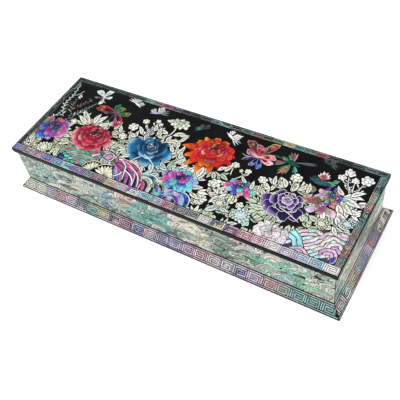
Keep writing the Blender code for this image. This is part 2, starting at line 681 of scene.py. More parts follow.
def peony(pic, at, width, height, rings, heart, turn=0.0, line=BARE, lift=0.2):
    """Rings of petals from the outside in, seen from a little below: every petal grows from a
    heart above the middle, and the near ones are long and cover the far ones. Each ring is its
    petals, its reach, how far they overlap, and the root, body and rim inks they take in turn.
    The petals are a count, or an angle and a share of the reach for each."""
    centre = (at[0], at[1] + lift * height)
    for ring, (spots, reach, overlap, inks) in enumerate(rings):
        if isinstance(spots, int):
            angles = [turn + 360 * (k + 0.5 * (ring % 2)) / spots for k in range(spots)]
            spots = [(angle + draw.uniform(-11, 11), draw.uniform(0.84, 1.08)) for angle in angles]
        low = at[1] + lift * height * (1 - reach)
        half = overlap * math.pi * reach * (width + height) / 4 / len(spots)
        petals = []
        for k, (angle, share) in enumerate(spots):
            x, y = polar(reach * share / 2, angle)
            petals.append((low + height * y, at[0] + width * x, inks[k % len(inks)]))
        for y, x, chosen in sorted(petals, key=lambda found: -found[0]):
            length = max(1.5, math.dist((x, y), centre))
            way = math.degrees(math.atan2(y - centre[1], x - centre[0]))
            spread = min(72.0, math.degrees(math.atan2(half, length * 0.8)))
            shape = petal(length, spread, point=min(0.3, max(0.0, 1.2 - overlap)))
            light, paleness = draw.uniform(0.75, 1.2), draw.uniform(0.5, 1.0)
            root, body, rim = (tuple(c * light for c in ink.colour) for ink in chosen)
            colour = fade(centre, length, root, body, mix(body, rim, paleness))
            ink = Ink(chosen[1].shell, colour, draw.random())
            about = (length * 0.55, 0)
            if line is not BARE:
                pic.add(turned(scaled(shape, 1 + 2.0 * GAP / length, about), centre, way))
                pic.add(turned(scaled(shape, 1 + 1.3 * GAP / length, about), centre, way), vary(line))
            else:
                pic.add(turned(scaled(shape, 1 + 1.5 * GAP / length, about), centre, way))
            for share in (1.0, 0.88, 0.72, 0.5, 0.25):
                pic.add(turned(scaled(shape, share, (length * 0.08, 0)), centre, way), ink)
            for vein in (-0.75, -0.45, -0.15, 0.2, 0.5, 0.8):
                long = length * draw.uniform(0.15, 0.45)
                slit = lobe(long, VEIN, length * draw.uniform(0.3, 0.5), 2)
                pic.add(turned(slit, centre, way + vein * spread))
    for _ in range(heart[0]):
        angle, away = draw.uniform(0, 360), heart[1] * width / 2 * math.sqrt(draw.random())
        spot = turned([(away, 0)], centre, angle, 1, 0.8)[0]
        size = draw.uniform(0.6, 1.15)
        bare, full = (2 * size, 1.5 * size, -size), (1.5 * size, size, -0.75 * size)
        sliver(pic, spot, angle, bare, full, vary(draw.choice(heart[2])))


def wing(pic, at, turn, length, width, edge, fill, spots):
    """A butterfly's wing: a pale edge, a coloured field with bare veins, and spots."""
    side = math.copysign(1, width)
    shape = [(x * length, y * width) for x, y in WING]
    about = (length * 0.6, 0)
    pic.add(turned(scaled(shape, 1 + 2 * GAP / length, about), at, turn))
    pic.add(turned(shape, at, turn), vary(shade(edge, 0.8)))
    inner = scaled(shape, 0.88, (length * 0.5, 0.06 * width))
    field = [vary(ink) for ink in fill]
    pic.add(turned(scaled(inner, 1 + 0.4 * GAP / length, about), at, turn))
    pic.add(turned(inner, at, turn), field[0])
    pic.add(turned(scaled(inner, 0.6, (length * 0.16, 0)), at, turn), field[-1])
    spread = math.degrees(math.atan2(abs(width) * 0.5, length))
    for vein in (-0.6, -0.2, 0.2, 0.6):
        way = turn + side * vein * spread
        pic.add(turned(lobe(length * 0.62, VEIN, length * 0.2, 2), at, way))
        pic.add(turned(lobe(length * 0.26, 0.34, length * 0.58, 2), at, way + 4), vary(edge))
    for k, ink in enumerate(spots):
        away = (k - (len(spots) - 1) / 2 + 0.1) * width * 0.3
        spot = turned([(length * 0.72, away)], at, turn)[0]
        pic.add(turned(disc(abs(width) * 0.08 + 0.25, 7), spot))
        pic.add(turned(disc(abs(width) * 0.08, 7), spot), vary(ink))


def butterfly(pic, at, way, wings, body, feelers):
    """Wings as (direction, length, width, edge, fill, spots), then the body and its feelers."""
    for turn, length, width, edge, fill, spots in wings:
        wing(pic, at, turn, length, width, edge, fill, spots)
    long = max(w[1] for w in wings) * 0.55
    foot = turned([(-long * 0.5, 0)], at, way)[0]
    sliver(pic, foot, way, (long + 0.4, 1.5), (long, 1.1), vary(body))
    head = turned([(long * 0.5, 0)], at, way)[0]
    for side in (-1, 1):
        tip = turned([(long * 0.7, side * long * 0.3)], head, way)[0]
        bow = turned([(long * 0.45, 0)], head, way)[0]
        pic.add(ribbon(bend(head, bow, tip, 4), 0.34, 0.5), vary(feelers))


def bird(pic, at, turn, size, body, feathers, tail, flip=1):
    """A small bird in flight: tail blades, a far wing, the body and head, and a near wing."""
    for angle in (-16, 0, 14):
        bare = (size * 0.55 + 0.4, 0.8 + size * 0.03, size * 0.1)
        full = (size * 0.55, 0.4 + size * 0.03, size * 0.12)
        sliver(pic, at, turn + 180 + angle, bare, full, vary(tail))
    fan(pic, turned([(size * 0.12, 0)], at, turn)[0], turn + flip * 54, size * 0.46, feathers, 4, 15)
    bare, full = (size * 0.74 + 0.5, size * 0.14 + 0.5, -size * 0.3), (size * 0.74, size * 0.14, -size * 0.28)
    sliver(pic, at, turn, bare, full, vary(body))
    fan(pic, turned([(-size * 0.02, 0)], at, turn)[0], turn + flip * 118, size * 0.56, feathers, 5, 15)


def fan(pic, at, turn, length, ink, count, step):
    """Feathers that open like a fan from one foot, the middle ones the longest."""
    for k in range(count):
        aside = abs(k - (count - 1) / 2)
        way = turn + (k - (count - 1) / 2) * step
        long = length * (1 - 0.12 * aside) * draw.uniform(0.9, 1.08)
        width = long * math.radians(step) * 0.8
        chosen = draw.choice(ink) if isinstance(ink, list) else ink
        bare, full = (long + 0.4, width + 1.2 * GAP, -0.2, 4, 1.2), (long, width, 0, 4, 1.2)
        sliver(pic, at, way, bare, full, vary(chosen, 0.25))
        pic.add(turned(lobe(long * 0.6, VEIN * 0.7, long * 0.2, 2), at, way))


def nacre(first, second):
    """Shell that drifts from one colour to the other and back as it goes along."""
    phase = draw.uniform(0, math.tau)
    colours = vary(first, 0.2).colour, vary(second, 0.2).colour

    def colour(x, y):
        return mix(*colours, 0.5 + 0.5 * math.sin(0.55 * x + 0.8 * math.sin(0.4 * y) + phase))

    return Ink(first.shell, colour, draw.random())


def ripples(pic, path, count, pitch, inks, break_at=9.0, line=BARE, wave=0.0):
    """Bands beside a path, each in pieces of changing shell, with bare or pale lines between."""
    wobble = [wave * math.sin(1.3 * i) + draw.uniform(-0.4, 0.4) * wave for i in range(len(path))]
    for k in range(count):
        swell = [math.cos(0.9 * k) * w for w in wobble]

        def laid(offset):
            return [
                (x + (x - x1) * w / pitch, y + (y - y1) * w / pitch)
                for (x, y), (x1, y1), w in zip(beside(path, offset), beside(path, offset - pitch), swell)
            ]

        band, inner = laid(-pitch * k), laid(-pitch * k - pitch + GAP)
        start, run = 0, 0.0
        pic.add(laid(GAP - pitch * k) + laid(-pitch * (k + 1))[::-1])
        for i in range(1, len(band)):
            run += math.dist(band[i - 1], band[i])
            if run > break_at * draw.uniform(0.6, 1.5) or i == len(band) - 1:
                ink = nacre(draw.choice(inks), draw.choice(inks))
                pic.add(band[start : i + 1] + inner[start : i + 1][::-1], ink)
                start, run = i, 0.0
        if line is not BARE:
            pic.add(ribbon(laid(GAP * 0.3 - pitch * k), 0.5, 0.4), vary(line))


# Border fret


def spiral(columns, rows):
    """Corner points of a square spiral on a grid, from its lower left corner inwards."""
    left, right, low, high = 0, columns, 0, rows
    points = [(0, 0)]
    while high > low and right > left:
        points += [(left, high), (right, high), (right, low), (left + 1, low)]
        left, right, low, high = left + 1, right - 1, low + 1, high - 1
    return points


def near_ink(sections, x, spread):
    """The ink of the section at x or of one beside it. Each section is its end and its ink."""
    x += draw.uniform(-spread, spread)
    for end, ink in sections:
        if x < end:
            return ink
    return sections[-1][1]


def fret(pic, start, way, length, low, rows, pitch, width, columns, sections, lines, pale, slant=0.0):
    """A band of square spirals in pale shell on a deeper ground, with its sections of colour.
    It runs from start along way. low is the first row's height over the start; lines are heights
    of plain lines; pale is how much paler than the ink the spirals are, from and to, less so where
    the ink is dark; slant is how far the band's ends draw in for each millimetre of height."""

    def laid(s0, t0, s1, t1, ink):
        box = [(s0, t0), (s1, t0), (s1, t1), (s0, t1)]
        pic.add(turned(box, start, way), ink)

    def strip(s0, t0, s1, t1, ink):
        half = width / 2
        laid(s0 - half - HAIRLINE, t0 - half - HAIRLINE, s1 + half + HAIRLINE, t1 + half + HAIRLINE, BARE)
        laid(s0 - half, t0 - half, s1 + half, t1 + half, ink)

    def line_ink(x):
        ink = near_ink(sections, x, 5)
        share = min(1.0, 0.24 + 2.2 * sum(ink.colour) / 3)
        return vary(shade(ink, draw.uniform(0.8, 1.2), share * draw.uniform(*pale)), 0.15)

    inset = slant * (low + rows * pitch / 2)
    count = max(1, round((length - 2 * inset) / ((columns + 2) * pitch)))
    unit = (length - 2 * inset) / count
    step = unit / (columns + 2)
    high = low + rows * pitch
    for n in range(count):
        bar = inset + n * unit
        x = bar + unit / 2 - length / 2
        for part in range(4):
            ground = vary(shade(near_ink(sections, x, 4), GROUND_SHADE), 0.5)
            s0 = bar + unit * part / 4
            laid(s0, low - width / 2, s0 + unit / 4 - 0.1, high + width / 2, ground)
        points = [((columns - x0 if n % 2 else x0) * step, y0 * pitch) for x0, y0 in spiral(columns, rows)]
        foot = bar + step
        for (x0, y0), (x1, y1) in zip(points, points[1:]):
            x0, x1 = sorted((x0, x1))
            y0, y1 = sorted((y0, y1))
            strip(foot + x0, low + y0, foot + x1, low + y1, line_ink(x))
        strip(bar, low, bar, high, line_ink(x))
        for height, wide in lines:
            s0 = bar + 0.1 if n else slant * height
            s1 = bar + unit if n < count - 1 else length - slant * height
            laid(s0, height - wide / 2, s1, height + wide / 2, line_ink(x))


# The lid's picture, in millimetres from its centre: x to the right, y to the back

# How far the leaves' field reaches, and how far apart they start
FIELD_LEFT = -123.0
FIELD_RIGHT = 124.0
FIELD_FRONT = -38.0
LEAF_SPACING = 6.0

# The leaves' far edge
SKYLINE = (
    (-123, -3), (-112, 1), (-103, 2), (-98, 8), (-92, 12), (-86, 11), (-78, 9), (-66, 10), (-60, 6),
    (-56, 8), (-52, 9), (-48, 14), (-40, 16), (-32, 17), (-22, 19), (-14, 17), (-8, 13), (-2, 6), (26, 6),
    (30, 11), (34, 7), (38, 3), (42, 3), (48, -1), (52, 0), (57, -2), (62, 6), (66, 9), (74, 10), (80, 10),
    (86, 12), (94, 9), (102, 14), (108, 20), (116, 20), (123, 17),
)


def skyline(x):
    """How far back the leaves reach at x."""
    for (x0, y0), (x1, y1) in zip(SKYLINE, SKYLINE[1:]):
        if x0 <= x <= x1:
            return y0 + (y1 - y0) * (x - x0) / (x1 - x0)
    return SKYLINE[0][1] if x < SKYLINE[0][0] else SKYLINE[-1][1]


# Root, body and rim inks of petals that recur
RED_PETAL = (WINE, SCARLET, dyed("c8453a"))
FIRE_PETAL = (SCARLET, dyed("bc381f"), AMBER)
PINK_PETAL = (WINE, CRIMSON, ROUGE)
DARK_PETAL = (WINE, CRIMSON, CORAL)
GLOW_PETAL = (WINE, SCARLET, CORAL)
BLUSH_PETAL = (WINE, SCARLET, ROUGE)
BLUE_PETAL = (DEEP_BLUE, COBALT, ICE)
DEEP_PETAL = (DEEP_BLUE, DEEP_BLUE, dyed("4f92bc"))
VIOLET_PETAL = (INDIGO, INDIGO, MAUVE)
ROYAL_PETAL = (INDIGO, INDIGO, ROYAL)
LIT_PETAL = (INDIGO, ROYAL, MAUVE)
NIGHT_PETAL = (NAVY, ULTRA, SKY)
SEA_PETAL = (TEAL, CYAN, AQUA)
HOT_PETAL = (GRAPE, HOT, LILAC)
SUGAR_PETAL = (GRAPE, HOT, PINK)
MOSS_PETAL = (PETROL, GREEN, STRAW)
CLAY_PETAL = (BROWN, ROSE, PINK)

# The rings of each large flower, from the outside in. A ring is its petals, as a count or as an angle
# and a share of the reach for each, then its reach, how far they overlap, and their inks in turn
FAR_LEFT_RINGS = (
    (9, 1.0, 1.15, (
        (PURPLE, MAGENTA, PINK), (GRAPE, PURPLE, LILAC), (BROWN, ROSE, COPPER), CLAY_PETAL, MOSS_PETAL,
        (PETROL, BROWN, PINK), NIGHT_PETAL, (PURPLE, GRAPE, LILAC), HOT_PETAL,
    )),
    (8, 0.74, 1.1, (
        (NAVY, MAGENTA, PINK), (NAVY, GRAPE, MAGENTA), CLAY_PETAL, (PETROL, BROWN, ROSE),
        (NAVY, ULTRA, LILAC),
    )),
    (6, 0.48, 1.1, ((PETROL, NAVY, ULTRA), (PURPLE, GRAPE, HOT), (PETROL, PETROL, SKY))),
    (4, 0.24, 1.2, ((NAVY, PURPLE, LILAC), (INKY, PETROL, ROSE))),
)

LEFT_RED_RINGS = (
    (
        (
            (180, 1.1), (206, 1.02), (232, 1.0), (260, 1.06), (290, 1.02), (318, 1.0), (346, 1.06),
            (15, 1.0), (48, 0.9), (82, 0.86), (115, 0.86), (150, 0.95),
        ),
        1.0, 1.15, 4 * (PINK_PETAL,) + 2 * (DARK_PETAL,) + (PINK_PETAL,) + 5 * (DARK_PETAL,),
    ),
    (8, 0.76, 1.2, (DARK_PETAL, PINK_PETAL, DARK_PETAL)),
    (7, 0.54, 1.2, (DARK_PETAL,)),
    (5, 0.32, 1.2, ((BOTTLE, WINE, CORAL), DARK_PETAL)),
)

BLUE_RINGS = (
    (
        (
            (170, 1.12), (203, 1.12), (246, 1.02), (285, 1.06), (322, 1.0), (0, 1.12), (42, 0.96),
            (88, 1.0), (130, 0.96),
        ),
        1.0, 1.15,
        2 * (BLUE_PETAL,) + 2 * (DEEP_PETAL, BLUE_PETAL) + 2 * (DEEP_PETAL,) + (BLUE_PETAL,),
    ),
    (5, 0.68, 1.3, (DEEP_PETAL, BLUE_PETAL)),
    (4, 0.4, 1.3, (DEEP_PETAL, (DEEP_BLUE, COBALT, MINT))),
    (3, 0.22, 1.2, ((BOTTLE, COBALT, MAUVE),)),
)

MIDDLE_RINGS = (
    (
        (
            (4, 1.0), (38, 0.95), (72, 0.95), (104, 1.0), (140, 0.95), (174, 1.06), (205, 1.0), (240, 0.92),
            (285, 0.95), (326, 1.0),
        ),
        1.0, 1.15,
        (
            (NAVY, SKY, LILAC), (ULTRA, LILAC, AQUA), (TEAL, CYAN, EMERALD), SEA_PETAL, (GRAPE, LILAC, SKY),
            (HOT, GRAPE, LILAC), SUGAR_PETAL, NIGHT_PETAL, SEA_PETAL, (ULTRA, CYAN, AQUA),
        ),
    ),
    (7, 0.7, 1.15, ((NAVY, ULTRA, CYAN), (NAVY, SKY, AQUA), SUGAR_PETAL, HOT_PETAL, SEA_PETAL)),
    (5, 0.4, 1.15, ((NAVY, HOT, PINK), (NAVY, NAVY, SKY))),
)

RED_RINGS = (
    (
        (
            (181, 1.24), (208, 1.04), (234, 1.1), (262, 1.12), (290, 1.0), (317, 0.96), (345, 0.98),
            (12, 0.96), (40, 0.95), (70, 1.0), (100, 1.0), (128, 1.0), (155, 0.98),
        ),
        1.0, 1.0, 5 * (FIRE_PETAL,) + 3 * (RED_PETAL,) + (BLUSH_PETAL,) + 4 * (FIRE_PETAL,),
    ),
    (10, 0.82, 1.15, (RED_PETAL, GLOW_PETAL, RED_PETAL, FIRE_PETAL)),
    (8, 0.62, 1.2, (DARK_PETAL, RED_PETAL)),
    (6, 0.44, 1.2, (RED_PETAL, BLUSH_PETAL)),
    (4, 0.26, 1.2, (GLOW_PETAL,)),
)

SMALL_RINGS = (
    (
        (
            (352, 1.1), (24, 1.0), (62, 0.9), (105, 0.9), (150, 1.0), (188, 1.1), (218, 0.95), (255, 0.85),
            (290, 0.9), (322, 1.15),
        ),
        1.0, 1.0,
        (
            SEA_PETAL, (ULTRA, CYAN, PINK), (NAVY, CYAN, AQUA), (PURPLE, ROSE, PINK), (ULTRA, SKY, AQUA),
            SUGAR_PETAL, (ULTRA, SKY, PINK), NIGHT_PETAL, (NAVY, PINK, MILK), (PURPLE, HOT, PINK),
        ),
    ),
    (6, 0.62, 1.1, (NIGHT_PETAL, (NAVY, CYAN, LILAC), (PURPLE, HOT, PINK))),
    (3, 0.34, 1.2, ((NAVY, NAVY, SKY),)),
)

FAR_RIGHT_RINGS = (
    (10, 1.0, 1.0, (
        (PETROL, EMERALD, AQUA), (VIOLET, GRAPE, LILAC), (BROWN, COPPER, STRAW), (TEAL, SEA, STRAW),
        (PURPLE, PINK, PALE_ROSE), (SLATE, LILAC, MILK),
    )),
    (8, 0.66, 1.0, (
        MOSS_PETAL, CLAY_PETAL, (VIOLET, GRAPE, LILAC), (PETROL, EMERALD, AQUA), (COPPER, PINK, MILK),
    )),
    (4, 0.34, 1.1, ((PURPLE, BROWN, PINK), MOSS_PETAL)),
)

VIOLET_RINGS = (
    (
        (
            (186, 1.14), (216, 1.1), (250, 1.0), (288, 1.0), (324, 1.06), (0, 1.02), (40, 0.9), (84, 0.9),
            (132, 0.96),
        ),
        1.0, 1.15, 2 * (LIT_PETAL,) + (VIOLET_PETAL,) + 3 * (ROYAL_PETAL,) + 3 * (VIOLET_PETAL,),
    ),
    (5, 0.7, 1.3, (VIOLET_PETAL, ROYAL_PETAL)),
    (5, 0.46, 1.3, (LIT_PETAL,)),
    (3, 0.26, 1.3, ((INDIGO, MAUVE, ROUGE),)),
)

# Centre, width, height, turn, rings, the heart's beads with their reach and inks, and the line round
# each petal
FLOWERS = (
    ((-112, -15), 30, 25, 10, FAR_LEFT_RINGS, (7, 0.3, (STRAW, INKY, PETROL, PINK)), BARE),
    ((-77, -10), 33, 28, 20, LEFT_RED_RINGS, (18, 0.34, (CORAL, ROUGE, WINE, BOTTLE)), BARE),
    ((-30, -4.5), 34, 27, 32, BLUE_RINGS, (8, 0.2, (MINT, ICE, MINT, PINK)), BARE),
    ((5, -18.7), 28, 21, 0, MIDDLE_RINGS, (6, 0.22, (HOT, PINK, NAVY, INKY)), BARE),
    ((12.5, 10.5), 37, 34, 8, RED_RINGS, (14, 0.3, (CELADON, CORAL, AMBER, BOTTLE)), BARE),
    ((45, -7.8), 22, 17, 15, SMALL_RINGS, (5, 0.22, (AQUA, PINK, NAVY)), BARE),
    ((102, 7.5), 24, 15, 5, FAR_RIGHT_RINGS, (6, 0.5, (STRAW, PINK, EMERALD)), BARE),
    ((77.5, -8.2), 29.5, 24.5, 24, VIOLET_RINGS, (7, 0.18, (PINK, MILK, HOT, CYAN)), PEARL),
)

# Centre, radius and ink
LEAF_PATCHES = (
    ((-74, -24), 9, MINT), ((-92, -16), 9, SAND), ((-102, -26), 14, SAND), ((-58, -4), 9, SAND),
    ((-44, 10), 12, IVORY), ((-28, 16), 10, IVORY), ((-14, -16), 10, FROST), ((22, -18), 10, IVORY),
    ((34, -12), 9, PEARL), ((112, 10), 14, PEARL), ((116, -8), 9, FROST), ((68, -24), 12, CELADON),
    ((52, -22), 12, CREAM), ((90, -14), 9, CELADON), ((-120, -10), 8, ASH), ((62, -30), 9, MINT),
    ((-112, 4), 9, ASH), ((38, -30), 8, FROST),
)


def patch_ink(patches, x, y, plain):
    """The ink of the first patch that holds the spot, with ragged edges, or else the plain one."""
    for (cx, cy), radius, ink in patches:
        if math.hypot(x - cx, y - cy) < radius * draw.uniform(0.7, 1.2):
            return ink
    return plain


def nearest_flower(x, y):
    """How far a spot is from the nearest flower, in flower sizes, and its direction from there."""
    found = []
    for at, width, height, *_ in FLOWERS:
        away = math.hypot((x - at[0]) / width, (y - at[1]) / height)
        found.append((away, math.degrees(math.atan2(y - at[1], x - at[0]))))
    return min(found)


# Spots that stay bare: x, y and radius
CLEARINGS = (
    (-1.5, -7.5, 2.4), (21, -7.5, 2.4), (31.5, -6, 2.2), (22.5, -15.5, 1.4), (48, -15, 1.2),
    (-18, 3.5, 1.4), (90, -16, 1.2), (-96, -8, 1.2), (-58, -3, 1.2),
)


def foliage(pic):
    """Leaves that grow outwards from the flowers, with bare lacquer showing between them."""
    spots = []
    x = FIELD_LEFT
    while x < FIELD_RIGHT:
        y = FIELD_FRONT
        while y < skyline(x) - 5:
            at = (x + draw.uniform(-2, 2), y + draw.uniform(-2, 2))
            away, direction = nearest_flower(*at)
            clear = all(math.dist(at, (cx, cy)) > radius + 2.4 for cx, cy, radius in CLEARINGS)
            if away > 0.28 and clear:
                spots.append((away, direction, at))
            y += LEAF_SPACING
        x += LEAF_SPACING
    for away, direction, at in sorted(spots, reverse=True):
        ink = patch_ink(LEAF_PATCHES, *at, draw.choice((CREAM, CREAM, IVORY, IVORY, CELADON)))
        if away > 0.75 and at[1] < -14:
            direction = draw.uniform(10, 170)
        turn = direction + draw.uniform(-34, 34)
        kind = draw.random()
        if kind < 0.46:
            trefoil(pic, at, turn, draw.uniform(7.5, 9.6), ink)
        elif kind < 0.66:
            length = draw.uniform(8.5, 11.5)
            leaf(pic, at, turn, length, length * draw.uniform(0.34, 0.42), ink, draw.uniform(-0.2, 0.2))
        elif kind < 0.86:
            hand_leaf(pic, at, turn, draw.uniform(7.5, 9.5), ink)
        else:
            blossom(pic, at, draw.uniform(2.8, 3.8), 5, ink, vary(ink), draw.uniform(0, 60))


def fern(pic, path, reach, inks):
    """A fine stem with slim leaflets to both sides that shorten towards its tip."""
    pic.add(ribbon(path, 0.45, 0.4), vary(draw.choice(inks)))
    last = len(path) - 1
    for i in range(1, last):
        (x0, y0), (x1, y1) = path[i - 1], path[i + 1]
        way = math.degrees(math.atan2(y1 - y0, x1 - x0)) + (55 if i % 2 else -55)
        length = reach * (1.1 - 0.6 * i / last) * draw.uniform(0.8, 1.1)
        pic.add(turned(lobe(length, length * 0.27, 0, 4), path[i], way), vary(draw.choice(inks), 0.2))


def twigs(pic):
    """Fine twigs and ferns in the upper left corner, the far ones dimmer."""
    dim = (DUSK, DUSK, SMOKE, shade(BLUSH, 0.45))
    grassy = (shade(GREEN, 0.6), ASH, shade(MINT, 0.45), BROWN, DUSK)
    for path, reach, inks, steps in (
        (((-104, 6), (-101, 12), (-98, 17), (-95.5, 22)), 3.6, grassy, 4),
        (((-108, 12), (-107, 16), (-104, 20), (-101, 23)), 3.2, (BROWN, DUSK, shade(ROSE, 0.7)), 3),
        (((-110, 6), (-112, 12), (-114, 17), (-112, 24)), 3.4, dim, 4),
        (((-113, 4), (-116, 10), (-116, 16)), 2.8, dim, 4),
        (((-107, -4), (-107, 2), (-110, 8)), 2.4, (shade(LILAC, 0.7), STRAW, ASH, DUSK), 3),
        (((-104.5, -5), (-104, 1), (-105.5, 7)), 2.2, (shade(TEAL, 0.9), ASH), 3),
        (((-121, -8), (-119.5, -3), (-116.5, 3)), 3.6, (FROST, IVORY), 3),
        (((-106, 3), (-102, 8), (-97, 12.5)), 3.6, (FROST, IVORY, ASH), 3),
        (
            ((-112, 0), (-117, 6), (-120, 13), (-119.5, 20), (-120.5, 28), (-122, 36)),
            3.0, (FROST, PEARL, IVORY), 4,
        ),
    ):
        fern(pic, through(path, steps), reach, inks)
    pic.add(ribbon(through(((-119.5, 22), (-116, 25), (-114, 30))), 0.5, 0.4), vary(FROST))
    for way in (60, 15, -30):
        blade(pic, (-114.5, 23), way, 3.4, 1.5, vary(PEARL))
    for at, ink in (((-102, 23), ROSE), ((-104, 24), DUSK), ((-106, 14), BROWN)):
        pic.add(turned(lobe(2.6, 1.3, -1.3), at, draw.uniform(0, 90)), vary(shade(ink, 0.8)))


# Dark ground under the rocks, the water and the waves
GROUNDS = (
    ([(-90, -38), (-90, -32), (-80, -25), (-66, -20), (-60, -26), (-62, -38)], PETROL),
    (
        [
            (-49, -22), (-40, -18), (-28, -19), (-19, -25), (-8, -23), (0, -26), (8, -25), (18, -29),
            (23, -38), (-40, -38),
        ],
        NAVY,
    ),
    ([(88, -38), (89, -27), (96, -20), (106, -16), (124, -14), (124, -38)], SLATE),
)

# Bright bands that run down from the rocks: path, width, two inks and the line along the upper side
CURRENTS = (
    (((-42, -19), (-32, -20), (-24, -25), (-19.5, -33), (-19, -38)), 3.4, ROSE, MAGENTA, PEARL),
    (((-44, -20.5), (-36, -22), (-28, -27), (-23.5, -38)), 3.2, HOT, PURPLE, MILK),
    (((-45, -22.5), (-38, -25), (-31, -30), (-28, -38)), 3.0, ROSE, GRAPE, BARE),
    (((-46, -24.5), (-41, -27), (-36, -31), (-32, -38)), 3.0, COPPER, MAGENTA, BARE),
    (((-45, -26), (-42, -29), (-39, -33), (-37, -38)), 2.6, NAVY, LILAC, LILAC),
    (((-39, -31), (-36.5, -34), (-35, -38)), 2.4, CYAN, ULTRA, BARE),
    (((-22, -25), (-15, -23.5), (-9, -26), (-6, -32), (-5.5, -38)), 3.0, SEA, NAVY, PEARL),
    (((-20.5, -27), (-15, -27), (-11.5, -30.5), (-10.5, -38)), 3.0, STONE_GREEN, MINTY, PEARL),
    (((-19, -29.5), (-16.5, -31), (-15, -34), (-14.5, -38)), 2.6, ROSE, COPPER, BARE),
    (((-10, -25), (-4, -25.5), (0, -29.5), (2.5, -36)), 3.0, GREEN, MINTY, PEARL),
    (((-8.5, -29), (-5, -30), (-2.5, -33), (-1.5, -38)), 2.8, VIOLET, LILAC, BARE),
    (((8, -28), (14, -28), (18.5, -31), (20, -38)), 3.2, ULTRA, NAVY, PEARL),
    (((10, -29.5), (14, -31), (16, -35), (16.5, -38)), 2.8, EMERALD, SKY, AQUA),
)

# Pale crests along the water
FOAM = (
    ((-42, -19.5), (-37, -22.5), (-35, -26.8), (-32.2, -34)),
    ((-35.4, -26), (-30, -28), (-25, -32), (-23, -36)),
    ((-34, -22), (-27, -24.5), (-22.3, -28.5), (-19, -35)), ((-36, -28), (-37, -31), (-40, -34)),
)

# Crests of the waves at the right: path, and how many bands lie under it
WAVES = (
    (((86, -29), (92, -24), (99, -19), (105, -17.5), (109, -18), (116, -14), (124, -13.5)), 3),
    (((97, -31.5), (104, -24), (107.5, -20.5), (110.5, -16.5), (115, -15), (123, -16)), 3),
    (((99, -35), (105, -29.5), (109, -27), (111, -22.5), (115, -18), (123, -19.5)), 3),
    (((103, -37), (107.5, -30.5), (113, -27), (115.5, -23), (120, -21.5), (125, -25)), 3),
)


